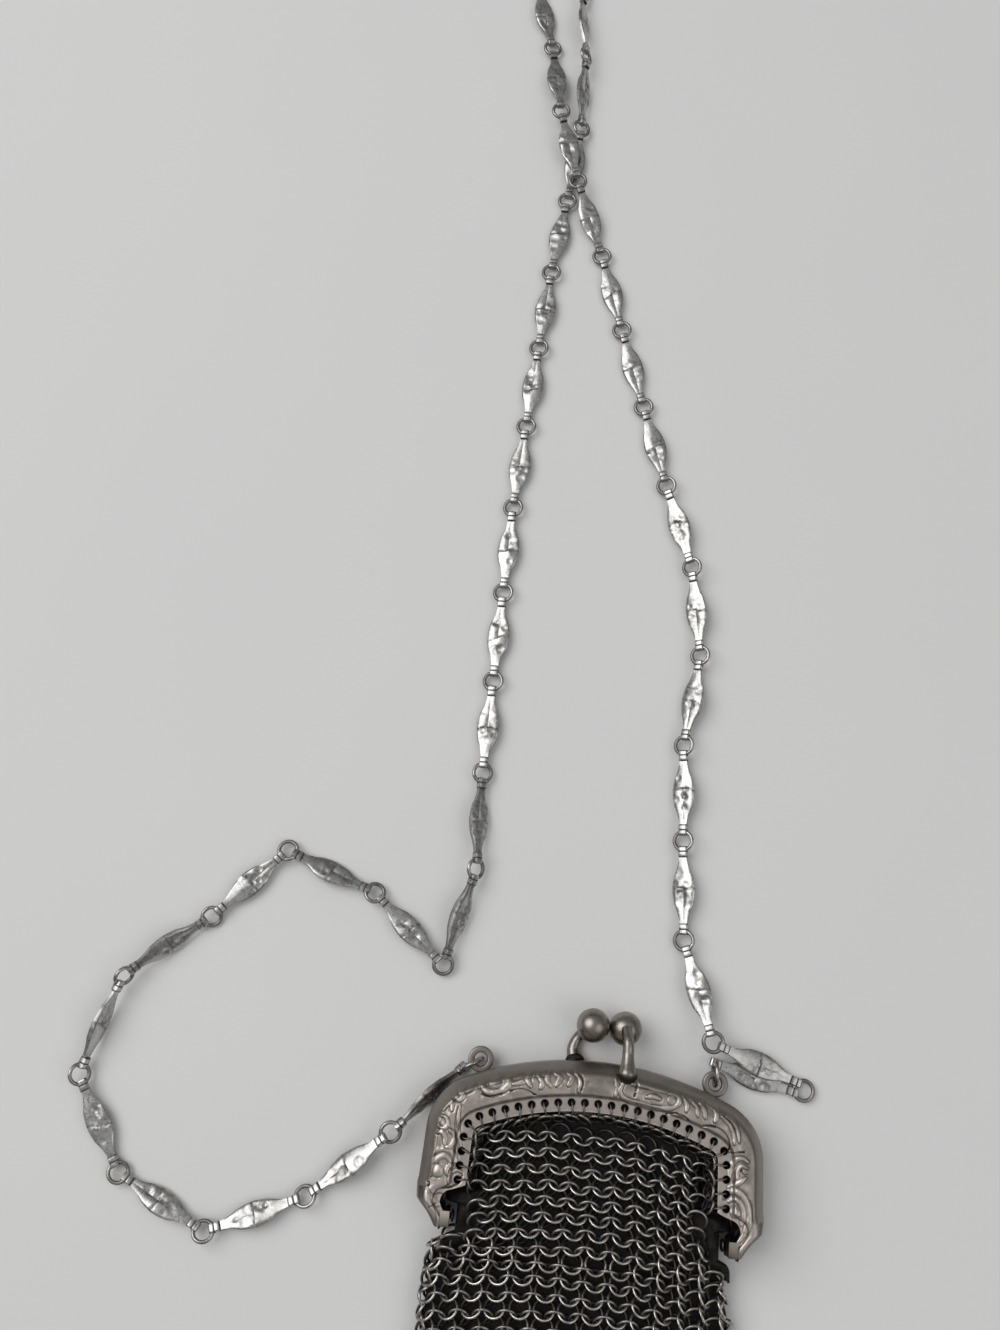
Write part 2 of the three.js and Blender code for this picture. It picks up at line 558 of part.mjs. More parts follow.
// The end rings stand on edge, each through its eye.
function endRing(side, heading) {
  const way = new THREE.Vector3(Math.cos(heading * DEGREE), Math.sin(heading * DEGREE), 0);
  const eyeRim = (EYE_OUTER_RADIUS + EYE_HOLE_RADIUS) / 2;
  const centre = eyeCentre(side).middle.addScaledVector(way, eyeRim + RING_WIRE_RADIUS / 2);
  const hold = way.clone().multiplyScalar(Math.cos(END_RING_DROP * DEGREE));
  hold.z = -Math.sin(END_RING_DROP * DEGREE);
  const held = centre.clone().addScaledVector(hold, END_RING_RADIUS);
  const axis = new THREE.Vector3(-way.y, way.x, 0);
  return { centre, axis, held, radius: END_RING_RADIUS };
}

// Every link gets its full length: the rings between the two eyes are moved until each pitch is true.
function chainRings(first, last) {
  const rings = [];
  let from = { x: first.held.x, y: first.held.y, lift: 0 };
  for (const row of CHAIN_ROUTE) {
    const to = {
      x: row.side * FRAME_FOOT_HALF_WIDTH + row.x * LINK_PITCH,
      y: FRAME_TOP_Y + row.y * LINK_PITCH,
      lift: row.lift * LINK_END_THICKNESS,
    };
    for (let i = 1; i <= row.links; i += 1) {
      const share = i / row.links;
      const mix = (key) => from[key] + (to[key] - from[key]) * share;
      rings.push({ place: new THREE.Vector2(mix("x"), mix("y")), lift: mix("lift"), roll: row.roll });
    }
    from = to;
  }
  const points = [new THREE.Vector2(first.held.x, first.held.y), ...rings.map((ring) => ring.place),
    new THREE.Vector2(last.held.x, last.held.y)];
  for (let pass = 0; pass < SETTLING_PASSES; pass += 1) {
    for (let i = 0; i + 1 < points.length; i += 1) {
      const atEnd = i === 0 || i + 2 === points.length;
      const wanted = atEnd ? LINK_PITCH - RING_RADIUS : LINK_PITCH;
      const apart = points[i + 1].clone().sub(points[i]);
      const error = apart.length() - wanted;
      apart.setLength(error / (atEnd ? 1 : 2));
      if (i > 0) points[i].add(apart);
      if (i + 2 < points.length) points[i + 1].sub(apart);
    }
  }
  return rings;
}

function halfHeight(width, thickness, roll) {
  const turn = Math.abs(roll) * DEGREE;
  return (width * Math.sin(turn) + thickness * Math.cos(turn)) / 2;
}

// One link, from wire to wire: narrow folded ends and a broad pinched middle.
const LINK_SHAPE = [
  { along: 0, wide: 0, thick: 1 },
  { along: 0.19, wide: 0.1, thick: 0.3 },
  { along: 0.5, wide: 1, thick: 0 },
  { along: 0.81, wide: 0.1, thick: 0.3 },
  { along: 1, wide: 0, thick: 1 },
];

function link(from, to, roll) {
  const forward = to.clone().sub(from).normalize();
  const level = new THREE.Vector3(-forward.y, forward.x, 0).normalize();
  const wide = level.applyAxisAngle(forward, roll * DEGREE);
  const thick = new THREE.Vector3().crossVectors(forward, wide);
  const overlap = RING_WIRE_RADIUS + (LINK_END_THICKNESS - 2 * RING_WIRE_RADIUS) / 2;
  const start = from.clone().addScaledVector(forward, -overlap);
  const length = to.distanceTo(from) + 2 * overlap;
  const corners = [[-1, -1], [1, -1], [1, 1], [-1, 1]];
  const sections = LINK_SHAPE.map((row) => {
    const halfWide = (LINK_END_WIDTH + (LINK_WIDTH - LINK_END_WIDTH) * row.wide) / 2;
    const halfThick = (LINK_THICKNESS + (LINK_END_THICKNESS - LINK_THICKNESS) * row.thick) / 2;
    return corners.map(([u, v]) => start.clone().addScaledVector(forward, row.along * length)
      .addScaledVector(wide, u * halfWide).addScaledVector(thick, v * halfThick));
  });
  return loft(sections, corners.map(([u, v]) => new THREE.Vector2(u, v)));
}

// A ring of wire, with the middle of one of its sides towards the link that it holds.
function wireRing({ centre, axis, radius }, held) {
  const way = held.clone().sub(centre).normalize().applyAxisAngle(axis, Math.PI / RING_SIDES);
  const beside = new THREE.Vector3().crossVectors(axis, way);
  const geometry = new THREE.TorusGeometry(radius, RING_WIRE_RADIUS, WIRE_SIDES, RING_SIDES);
  geometry.applyMatrix4(new THREE.Matrix4().makeBasis(way, beside, axis).setPosition(centre));
  return solidOf(geometry);
}

// Where a link takes hold of a ring: on the side that it comes from, in the ring's own plane.
function holdOn(ring, towards, other) {
  const flatten = (target) => {
    const way = target.clone().sub(ring.centre);
    return way.addScaledVector(ring.axis, -way.dot(ring.axis)).normalize();
  };
  const way = flatten(towards);
  const beside = flatten(other);
  const apart = way.angleTo(beside);
  const least = LEAST_HOLD_ANGLE * DEGREE;
  if (apart < least) {
    const hinge = new THREE.Vector3().crossVectors(beside, way).normalize();
    way.applyAxisAngle(hinge, (least - apart) / 2);
  }
  return ring.centre.clone().addScaledVector(way, ring.radius);
}

// How far a link, or a ring, reaches below the surface that the chain lies on.
function linkSinks(from, to, roll) {
  const middle = halfHeight(LINK_WIDTH, LINK_THICKNESS, roll) - (from.z + to.z) / 2;
  const end = halfHeight(LINK_END_WIDTH, LINK_END_THICKNESS, roll) - Math.min(from.z, to.z);
  return Math.max(middle, end) + RING_WIRE_RADIUS / 3;
}

function ringSinks(ring) {
  return ring.radius * Math.hypot(ring.axis.x, ring.axis.y) + RING_WIRE_RADIUS - ring.centre.z;
}

function chain() {
  const first = endRing(-1, LEFT_END_RING_HEADING);
  const last = endRing(1, RIGHT_END_RING_HEADING);
  const rings = chainRings(first, last);
  const rolls = [...rings.map((ring) => ring.roll), 0];
  const places = [first.held, ...rings.map(({ place }) => new THREE.Vector3(place.x, place.y, 0)), last.held];
  const spots = rings.map((ring, i) => {
    const forward = places[i + 2].clone().sub(places[i]).setZ(0);
    if (forward.length() < LINK_PITCH) forward.copy(places[i + 1]).sub(places[i]).setZ(0);
    const tilt = ((rolls[i] + rolls[i + 1]) / 2) * DEGREE;
    const axis = new THREE.Vector3(0, 0, 1).applyAxisAngle(forward.normalize(), tilt);
    const centre = places[i + 1].clone().setZ(LINK_END_THICKNESS / 2);
    return { centre, axis, radius: RING_RADIUS, lift: ring.lift };
  });
  const ends = [{ centre: first.held }, ...spots, { centre: last.held }];
  const hold = (k, other) => (ends[k].axis
    ? holdOn(ends[k], ends[other].centre, ends[2 * k - other].centre) : ends[k].centre);
  for (let pass = 0; pass < 8; pass += 1) {
    for (const spot of spots) spot.centre.z += Math.max(0, ringSinks(spot));
    for (let i = 0; i + 1 < ends.length; i += 1) {
      const sunk = Math.max(0, linkSinks(hold(i, i + 1), hold(i + 1, i), rolls[i]));
      if (ends[i].axis) ends[i].centre.z += sunk;
      if (ends[i + 1].axis) ends[i + 1].centre.z += sunk;
    }
  }
  for (const spot of spots) spot.centre.z += spot.lift;
  let body = wireRing(first, first.held).add(wireRing(last, last.held));
  for (let i = 0; i + 1 < ends.length; i += 1) {
    const from = hold(i, i + 1);
    body = body.add(link(from, hold(i + 1, i), rolls[i]));
    if (ends[i].axis) body = body.add(wireRing(ends[i], from));
  }
  return body;
}

const purse = new THREE.Group();
purse.add(meshOf("frame_front", frameHalf(1), TARNISHED));
purse.add(meshOf("frame_back", frameHalf(-1), TARNISHED));
purse.add(meshOf("clasp_knob_front", knob(1), PEWTER));
purse.add(meshOf("clasp_knob_back", knob(-1), PEWTER));
purse.add(meshOf("hinge_rivet_left", rivet(-1), GUNMETAL));
purse.add(meshOf("hinge_rivet_right", rivet(1), GUNMETAL));
purse.add(meshOf("mesh_bag", pouch(), GUNMETAL));
purse.add(meshOf("shoulder_chain", chain(), BRIGHT));

export default purse;
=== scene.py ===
"""Looks of a small ring-mesh purse that lies on its back: an arched, pierced and embossed frame with a
kiss-lock, a limp pouch of linked rings with its dark lining, and a long chain of hammered links.
Shapes are worked out in millimetres in the part's own frame and turned to metres as a mesh is made."""

import math

import bmesh
import bpy
import numpy as np
from mathutils import Matrix, Vector


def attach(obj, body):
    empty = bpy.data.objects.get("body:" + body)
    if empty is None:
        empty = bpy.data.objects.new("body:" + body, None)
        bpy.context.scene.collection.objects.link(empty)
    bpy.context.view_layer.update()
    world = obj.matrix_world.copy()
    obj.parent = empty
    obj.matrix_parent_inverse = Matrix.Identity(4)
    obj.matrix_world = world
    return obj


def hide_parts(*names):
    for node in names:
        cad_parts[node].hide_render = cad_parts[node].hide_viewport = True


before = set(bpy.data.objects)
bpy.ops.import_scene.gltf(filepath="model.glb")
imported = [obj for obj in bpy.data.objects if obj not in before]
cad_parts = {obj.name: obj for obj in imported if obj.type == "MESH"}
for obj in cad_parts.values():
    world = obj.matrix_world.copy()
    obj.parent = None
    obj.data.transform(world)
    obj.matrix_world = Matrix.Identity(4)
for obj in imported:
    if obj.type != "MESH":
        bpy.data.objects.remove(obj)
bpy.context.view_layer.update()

MM = 0.001
TAU = 2 * math.pi
UP = np.array([0.0, 0.0, 1.0])

# Seeds, one for each use, so that a change to one piece leaves the others as they are.
SEED_RINGS = 11
SEED_BACK_RINGS = 12
SEED_EDGE_RINGS = 13
SEED_LINKS = 14
SEED_FRAME = 15
SEED_LINING = 16


# Camera, light and floor

CAMERA_AT = Vector((-19.1, 40.2, 231.0)) * MM
CAMERA_AIM = Vector((-25.3, 101.8, 0.0)) * MM
CAMERA_UP = Vector((-0.101, 0.995, 0.0))
CAMERA_LENS = 43.2


def new_object(name, data):
    """A new object that is already in the scene."""
    made = bpy.data.objects.new(name, data)
    bpy.context.scene.collection.objects.link(made)
    return made


def make_camera():
    data = bpy.data.cameras.new("camera")
    data.sensor_fit = "HORIZONTAL"
    data.sensor_width = 36.0
    data.lens = CAMERA_LENS
    data.clip_start = 0.005
    back = (CAMERA_AT - CAMERA_AIM).normalized()
    right = CAMERA_UP.cross(back).normalized()
    up = back.cross(right)
    camera = new_object("camera", data)
    camera.matrix_world = Matrix.Translation(CAMERA_AT) @ Matrix((right, up, back)).transposed().to_4x4()
    bpy.context.scene.camera = camera


def area_light(name, place, aim, size, power):
    data = bpy.data.lights.new(name, "AREA")
    data.shape = "DISK"
    data.size = size
    data.energy = power
    light = new_object(name, data)
    light.location = Vector(place)
    light.rotation_euler = (Vector(aim) - Vector(place)).to_track_quat("-Z", "Y").to_euler()


def make_lights():
    middle = (-0.02, 0.1, 0.0)
    area_light("key", (-0.9, 0.4, 1.15), middle, 1.3, 11.0)
    area_light("fill", (0.8, -0.2, 1.0), middle, 1.0, 2.2)
    world = bpy.data.worlds.new("studio")
    world.use_nodes = True
    tree = world.node_tree
    where = tree.nodes.new("ShaderNodeTexCoord")
    split = tree.nodes.new("ShaderNodeSeparateXYZ")
    ramp = tree.nodes.new("ShaderNodeValToRGB")
    tree.links.new(where.outputs["Generated"], split.inputs[0])
    tree.links.new(split.outputs["Z"], ramp.inputs[0])
    tree.links.new(ramp.outputs[0], tree.nodes["Background"].inputs["Color"])
    ramp.color_ramp.elements[0].position = 0.0
    ramp.color_ramp.elements[0].color = (0.10, 0.10, 0.10, 1)
    ramp.color_ramp.elements[1].position = 0.9
    ramp.color_ramp.elements[1].color = (0.5, 0.5, 0.5, 1)
    tree.nodes["Background"].inputs["Strength"].default_value = 0.76
    bpy.context.scene.world = world
    bpy.context.scene.view_settings.view_transform = "Standard"


# Node materials

def new_material(name):
    material = bpy.data.materials.new(name)
    material.use_nodes = True
    tree = material.node_tree
    return material, tree, tree.nodes["Principled BSDF"]


def noise_node(tree, scale, detail=3.0, roughness=0.55):
    where = tree.nodes.new("ShaderNodeTexCoord")
    node = tree.nodes.new("ShaderNodeTexNoise")
    for key, value in (("Scale", scale), ("Detail", detail), ("Roughness", roughness)):
        node.inputs[key].default_value = value
    tree.links.new(where.outputs["Object"], node.inputs["Vector"])
    return node


def ramp_node(tree, source, stops):
    """A colour ramp over a 0 to 1 value; stops are (position, (r, g, b))."""
    node = tree.nodes.new("ShaderNodeValToRGB")
    ramp = node.color_ramp
    while len(ramp.elements) < len(stops):
        ramp.elements.new(0.5)
    for element, (position, colour) in zip(ramp.elements, stops):
        element.position = position
        element.color = (*colour, 1)
    tree.links.new(source, node.inputs[0])
    return node.outputs[0]


def mix_node(tree, share, first, second):
    node = tree.nodes.new("ShaderNodeMix")
    node.data_type = "RGBA"
    tree.links.new(share, node.inputs["Factor"])
    for socket, value in ((node.inputs[6], first), (node.inputs[7], second)):
        if isinstance(value, tuple):
            socket.default_value = (*value, 1)
        else:
            tree.links.new(value, socket)
    return node.outputs[2]


def range_node(tree, source, low, high, out_low, out_high):
    node = tree.nodes.new("ShaderNodeMapRange")
    for key, value in (("From Min", low), ("From Max", high), ("To Min", out_low), ("To Max", out_high)):
        node.inputs[key].default_value = value
    tree.links.new(source, node.inputs["Value"])
    return node.outputs[0]


def bump_nodes(tree, shader, source, strength, depth):
    node = tree.nodes.new("ShaderNodeBump")
    node.inputs["Strength"].default_value = strength
    node.inputs["Distance"].default_value = depth * MM
    tree.links.new(source, node.inputs["Height"])
    tree.links.new(node.outputs[0], shader.inputs["Normal"])


def attribute_node(tree, name):
    node = tree.nodes.new("ShaderNodeAttribute")
    node.attribute_name = name
    return node.outputs["Fac"]


def worn_metal(name, pale, tone, dark, rough, size, grain, worn_and_shaded=False):
    """Metal with two tones in soft patches of size mm and a fine grain in its gloss and bump. Where the last
    flag is set a point attribute darkens it, from tarnish and painted shade at 0 to rubbed edges at 1."""
    material, tree, shader = new_material(name)
    patches = noise_node(tree, 1 / (size * MM), 4.0, 0.6).outputs[0]
    colour = ramp_node(tree, patches, [(0.34, tone), (0.62, pale)])
    fine = noise_node(tree, 1 / (grain * MM), 3.0, 0.6).outputs[0]
    specks = range_node(tree, fine, 0.34, 0.46, 0.35, 0.0)
    colour = mix_node(tree, specks, colour, dark)
    gloss = range_node(tree, fine, 0.3, 0.7, rough[0], rough[1])
    if worn_and_shaded:
        # painted shade together with real tarnish: the attribute darkens the deep sides of rings and the knob
        # stems' feet
        wear_and_shade = attribute_node(tree, "wear_and_shade")
        colour = mix_node(tree, wear_and_shade, dark, colour)
        dull = tree.nodes.new("ShaderNodeMath")
        dull.operation = "MULTIPLY_ADD"
        tree.links.new(range_node(tree, wear_and_shade, 0.0, 1.0, 0.3, 0.0), dull.inputs[0])
        dull.inputs[1].default_value = 1.0
        tree.links.new(gloss, dull.inputs[2])
        gloss = dull.outputs[0]
    tree.links.new(colour, shader.inputs["Base Color"])
    tree.links.new(gloss, shader.inputs["Roughness"])
    shader.inputs["Metallic"].default_value = 1.0
    bump_nodes(tree, shader, fine, 0.3, 0.05)
    return material


def stamped_plate():
    """The frame's plate: a dull rim, a paler face with rubbed crests and painted highlights, and brown dirt
    in its hollows with painted shade under the sheet and round the hinges.
    """
    material, tree, shader = new_material("stamped_plate")
    patches = noise_node(tree, 1 / (2.4 * MM), 4.0, 0.6).outputs[0]
    fine = noise_node(tree, 1 / (0.3 * MM), 3.0, 0.6).outputs[0]
    rim = ramp_node(tree, patches, [(0.3, (0.25, 0.225, 0.20)), (0.7, (0.30, 0.27, 0.24))])
    face = ramp_node(tree, patches, [(0.3, (0.41, 0.36, 0.33)), (0.7, (0.52, 0.465, 0.43))])
    colour = mix_node(tree, attribute_node(tree, "zone"), rim, face)
    # painted highlight, partly real rubbing: pale colour on the raised crests and along the flange's inner
    # edge
    colour = mix_node(tree, attribute_node(tree, "crest_and_highlight"), colour, (0.70, 0.64, 0.58))
    # brown dirt in the hollows together with painted shade: near black under the sheet, round the hinges and
    # along the rim on the left
    patchy = tree.nodes.new("ShaderNodeMath")
    patchy.operation = "MULTIPLY_ADD"
    patchy.inputs[1].default_value = 0.5
    tree.links.new(patches, patchy.inputs[0])
    tree.links.new(attribute_node(tree, "grime_and_shade"), patchy.inputs[2])
    dirt_and_shade = range_node(tree, patchy.outputs[0], 0.45, 1.2, 0.0, 0.92)
    colour = mix_node(tree, dirt_and_shade, colour, (0.050, 0.036, 0.028))
    tree.links.new(colour, shader.inputs["Base Color"])
    tree.links.new(range_node(tree, fine, 0.3, 0.7, 0.34, 0.46), shader.inputs["Roughness"])
    shader.inputs["Metallic"].default_value = 1.0
    bump_nodes(tree, shader, fine, 0.25, 0.04)
    return material


def floor_material():
    material, tree, shader = new_material("floor")
    soft = noise_node(tree, 12.0, 2.0).outputs[0]
    colour = ramp_node(tree, soft, [(0.3, (0.80, 0.80, 0.795)), (0.7, (0.815, 0.812, 0.805))])
    tree.links.new(colour, shader.inputs["Base Color"])
    shader.inputs["Roughness"].default_value = 0.75
    return material


def lining_and_shade_material():
    """Dark cloth, limp and a little shiny, seen between the rings and beside the hinges; its near-black
    colour is partly painted shade, standing for the shade inside the bag and under the flange.
    """
    material, tree, shader = new_material("lining_cloth_and_shade")
    weave = noise_node(tree, 2200.0, 2.0).outputs[0]
    folds = noise_node(tree, 260.0, 3.0).outputs[0]
    # partly the cloth's own dark colour and partly painted shade: near black
    colour = ramp_node(tree, folds, [(0.35, (0.0045, 0.0036, 0.0032)), (0.7, (0.0140, 0.0112, 0.0100))])
    tree.links.new(colour, shader.inputs["Base Color"])
    tree.links.new(range_node(tree, weave, 0.3, 0.7, 0.45, 0.75), shader.inputs["Roughness"])
    shader.inputs["Specular IOR Level"].default_value = 0.22
    bump_nodes(tree, shader, weave, 0.6, 0.12)
    return material


# Shapes made of arrays

def noise_field(x, y, size, seed):
    """Smooth noise from -1 to 1 over the plane, with lumps about size mm across."""
    table = np.random.default_rng(seed).uniform(-1, 1, (64, 64))
    u, v = np.asarray(x) / size, np.asarray(y) / size
    i, j = np.floor(u).astype(int), np.floor(v).astype(int)
    a, b = u - i, v - j
    a, b = a * a * (3 - 2 * a), b * b * (3 - 2 * b)
    pick = lambda di, dj: table[(i + di) % 64, (j + dj) % 64]
    low = pick(0, 0) * (1 - a) + pick(1, 0) * a
    high = pick(0, 1) * (1 - a) + pick(1, 1) * a
    return low * (1 - b) + high * b


def smooth_rows(keys, values, at):
    """Cubic interpolation that doesn't overshoot; keys rise."""
    keys, values, at = (np.asarray(part, float) for part in (keys, values, at))
    slope = np.diff(values) / np.diff(keys)
    tangent = np.zeros(len(keys))
    same = slope[:-1] * slope[1:] > 0
    tangent[1:-1][same] = 2 * slope[:-1][same] * slope[1:][same] / (slope[:-1] + slope[1:])[same]
    tangent[0], tangent[-1] = slope[0], slope[-1]
    at = np.clip(at, keys[0], keys[-1])
    k = np.clip(np.searchsorted(keys, at, side="right") - 1, 0, len(keys) - 2)
    span = keys[k + 1] - keys[k]
    t = (at - keys[k]) / span
    first = (1 + 2 * t) * (1 - t) ** 2 * values[k] + t * (1 - t) ** 2 * span * tangent[k]
    return first + t * t * (3 - 2 * t) * values[k + 1] + t * t * (t - 1) * span * tangent[k + 1]


def soft_step(low, high, value):
    t = np.clip((value - low) / (high - low), 0, 1)
    return t * t * (3 - 2 * t)


def unit(vectors):
    return vectors / np.linalg.norm(vectors, axis=-1, keepdims=True)


def run_on(points):
    """The points with one more beyond each end, in line with the two before it."""
    return np.concatenate([2 * points[:1] - points[1:2], points, 2 * points[-1:] - points[-2:-1]])


def curve_piece(a, b, c, d, t):
    """A smooth curve from b to c as t goes from 0 to 1; a and d are the points before and after."""
    return 0.5 * (2 * b + (c - a) * t + (2 * a - 5 * b + 4 * c - d) * t**2
                  + (3 * b - a - 3 * c + d) * t**3)


class Parts:
    """Vertices, faces and a tone of rubbing, tarnish and painted shade gathered for one piece."""

    def __init__(self):
        self.points = []
        self.wear_and_shade = []
        self.faces = []
        self.count = 0

    def add(self, points, faces, wear_and_shade=1.0):
        points = np.asarray(points, float).reshape(-1, 3)
        self.faces += [[i + self.count for i in face] for face in faces]
        self.points.append(points)
        self.wear_and_shade.append(np.broadcast_to(np.asarray(wear_and_shade, float).reshape(-1), len(points)))
        self.count += len(points)

    def tube(self, rows, closed_along=False, capped=True, wear_and_shade=1.0):
        """A skin through rows of equal length, each a closed loop."""
        rows = np.asarray(rows, float)
        n, m = rows.shape[:2]
        faces = []
        for i in range(n if closed_along else n - 1):
            a, b = i * m, ((i + 1) % n) * m
            faces += [[a + j, a + (j + 1) % m, b + (j + 1) % m, b + j] for j in range(m)]
        if capped and not closed_along:
            faces += [list(range(m))[::-1], list(range((n - 1) * m, n * m))]
        self.add(rows, faces, wear_and_shade)


def build(name, parts, material, replaced=()):
    """One piece from gathered parts, riding on the purse and nowhere below the surface it lies on."""
    mesh = bpy.data.meshes.new(name)
    points = np.concatenate(parts.points)
    points[:, 2] = np.maximum(points[:, 2], 0.0)
    mesh.from_pydata((points * MM).tolist(), [], parts.faces)
    # a point attribute of rubbing, tarnish and painted shade, which the metals darken by
    layer = mesh.attributes.new("wear_and_shade", "FLOAT", "POINT")
    layer.data.foreach_set("value", np.concatenate(parts.wear_and_shade).astype(np.float32))
    mesh.validate()
    mesh.materials.append(material)
    mesh.polygons.foreach_set("use_smooth", [True] * len(mesh.polygons))
    piece = new_object(name, mesh)
    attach(piece, "root")
    if replaced:
        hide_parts(*replaced)
    return piece


UNSHADED_FROM, UNSHADED_OVER = 0.02, 0.42  # where a ring's lit, rubbed part starts above its painted shade and tarnish, and how fast it grows, in radii


def rings_into(parts, centres, first, second, radius, wire, around, across, low=0.0, tone_and_shade=1.0):
    """Round wire rings; first and second span each ring's plane. Their tone runs from low, where a ring
    lies deepest under the face of its sheet and is darkened by painted shade and tarnish, to 1 where it
    stands out; the last argument darkens whole rings as painted shade."""
    u = np.arange(around) * TAU / around
    v = np.arange(across) * TAU / across
    normal = np.cross(first, second)
    spoke = first[:, None] * np.cos(u)[None, :, None] + second[:, None] * np.sin(u)[None, :, None]
    reach = (radius + wire * np.cos(v))[None, None, :, None]
    rows = centres[:, None, None] + spoke[:, :, None] * reach
    rows = rows + normal[:, None, None] * (wire * np.sin(v))[None, None, :, None]
    i, j = np.meshgrid(np.arange(around), np.arange(across), indexing="ij")
    quad = np.stack([i * across + j, ((i + 1) % around) * across + j,
                     ((i + 1) % around) * across + (j + 1) % across, i * across + (j + 1) % across], -1)
    quad = quad.reshape(-1, 4)
    size = around * across
    faces = (quad[None] + (np.arange(len(centres)) * size)[:, None, None]).reshape(-1, 4)
    # painted shade, with some real tarnish: each ring is darker on its deep side
    deep = (rows - centres[:, None, None])[..., 2] / radius
    wear_and_shade = low + (1 - low) * np.clip((deep - UNSHADED_FROM) / UNSHADED_OVER, 0, 1)
    parts.add(rows, faces.tolist(), wear_and_shade * tone_and_shade)


# The frame's outline, as the CAD part has it

TOP_Y, TOP_RADIUS, SHOULDER_RADIUS = 29.0, 60.0, 10.0
FOOT_X, FOOT_Y, LEAN = 30.0, 4.0, math.radians(2.5)
DEPTH, SHEET, BAND = 10.0, 0.7, 8.2
HALF_DEPTH = DEPTH / 2
WALL, BEVEL, FLANGE_AT, STEP = 1.9, 2.3, 5.3, 0.6
FACE = {1: 4.6, -1: 5.0}
LEG_Y = [-0.5, 1.615, 3.2, 4.0, 4.9, 5.7, 6.2, 6.61]
LEG_X = [0.88, 0.925, 0.975, 0.995, 0.998, 1.0, 1.0, 1.0]
LEG_BAND = [0.14, 0.37, 0.46, 0.5, 0.54, 0.64, 0.82, 0.95]
LEG_RISE = [0.85, 0.97, 0.99, 1.0, 1.0, 1.0, 1.0, 1.0]
TOP_C = np.array([0.0, TOP_Y - TOP_RADIUS])
SIDE_UP = np.array([-math.sin(LEAN), math.cos(LEAN)])
SIDE_OUT = np.array([math.cos(LEAN), math.sin(LEAN)])
_start = np.array([FOOT_X, FOOT_Y]) - SHOULDER_RADIUS * SIDE_OUT - TOP_C
_along = _start @ SIDE_UP
SIDE_LENGTH = -_along + math.sqrt(_along**2 - _start @ _start + (TOP_RADIUS - SHOULDER_RADIUS) ** 2)
SHOULDER = TOP_C + _start + SIDE_UP * SIDE_LENGTH
TOP_TURN = math.atan2(*(SHOULDER - TOP_C))
SHOULDER_TURN = math.pi / 2 - LEAN - TOP_TURN


def band_point(distance, inset):
    """A point and its outward way, distance along the line at that inset, from the top's middle."""
    side = math.copysign(1.0, distance)
    left = abs(distance)
    top = TOP_TURN * (TOP_RADIUS - inset)
    corner = SHOULDER_TURN * (SHOULDER_RADIUS - inset)
    if left <= top:
        angle = left / (TOP_RADIUS - inset)
        out = np.array([math.sin(angle), math.cos(angle)])
        point = TOP_C + out * (TOP_RADIUS - inset)
    elif left <= top + corner:
        angle = TOP_TURN + (left - top) / (SHOULDER_RADIUS - inset)
        out = np.array([math.sin(angle), math.cos(angle)])
        point = SHOULDER + out * (SHOULDER_RADIUS - inset)
    else:
        out = SIDE_OUT.copy()
        point = SHOULDER + out * (SHOULDER_RADIUS - inset) - SIDE_UP * (left - top - corner)
    return point * [side, 1], out * [side, 1]


def inset_length(inset, foot_y):
    turning = TOP_TURN * (TOP_RADIUS - inset) + SHOULDER_TURN * (SHOULDER_RADIUS - inset)
    return turning + (SHOULDER[1] + (SHOULDER_RADIUS - inset) * SIDE_OUT[1] - foot_y) / SIDE_UP[1]


def leg_at(y):
    """The outer edge, the band's narrowing and the height's share on a leg."""
    x = FOOT_X * smooth_rows(LEG_Y, LEG_X, y)
    narrow = (smooth_rows(LEG_Y, LEG_BAND, y) * BAND - SHEET) / (BAND - SHEET)
    return x, narrow, smooth_rows(LEG_Y, LEG_RISE, y)


def stations(step):
    """Places round the frame from the left foot to the right one: point, outward way, narrowing, rise."""
    turn_end = TOP_TURN * TOP_RADIUS + SHOULDER_TURN * SHOULDER_RADIUS
    last = turn_end + 0.72 * SIDE_LENGTH
    count = int(last / step)
    rows = []
    for i in range(count + 1):
        point, out = band_point(last * i / count, 0)
        rows.append((point[0], point[1], out[0], out[1], 1.0, 1.0))
    top_y = rows[-1][1]
    top_x = rows[-1][0]
    legs = int((top_y - LEG_Y[0]) / step)
    for i in range(1, legs + 1):
        y = top_y + (LEG_Y[0] - top_y) * i / legs
        x, narrow, rise = leg_at(y)
        blend = min(1.0, (top_y - y) / (top_y - LEG_Y[-1]))
        side_x = top_x + (top_y - y) * math.tan(LEAN)
        x = side_x * (1 - blend) + x * blend
        narrow = (1 - blend) + narrow * blend
        turn = LEAN * (1 - blend)
        rows.append((x, y, math.cos(turn), math.sin(turn), float(narrow), float(rise)))
    right = np.array(rows)
    left = right[:0:-1] * [-1, 1, -1, 1, 1, 1]
    return np.concatenate([left, right])


def inset_of(x, y):
    """How far inside the outer edge a point lies, as the band's own measure across."""
    a = np.abs(x)
    p = np.stack([a, y], -1)
    from_top = p - TOP_C
    from_shoulder = p - SHOULDER
    top = TOP_RADIUS - np.linalg.norm(from_top, axis=-1)
    corner = SHOULDER_RADIUS - np.linalg.norm(from_shoulder, axis=-1)
    side = SHOULDER_RADIUS - from_shoulder @ SIDE_OUT
    angle = np.arctan2(from_top[..., 0], from_top[..., 1])
    inset = np.where(angle <= TOP_TURN, top, np.where(from_shoulder @ SIDE_UP >= 0, corner, side))
    x_leg, narrow, _ = leg_at(y)
    in_leg = (x_leg - a) / narrow
    blend = np.clip((LEG_Y[-1] + 2 - y) / 2, 0, 1)
    return inset * (1 - blend) + in_leg * blend


# The ornament, in plan: ridges (r), grooves (g) and domes (d), each with its height and half width.
# Scrolls, lobes and shells in the manner of a stamped rococo border, the two sides not quite alike.

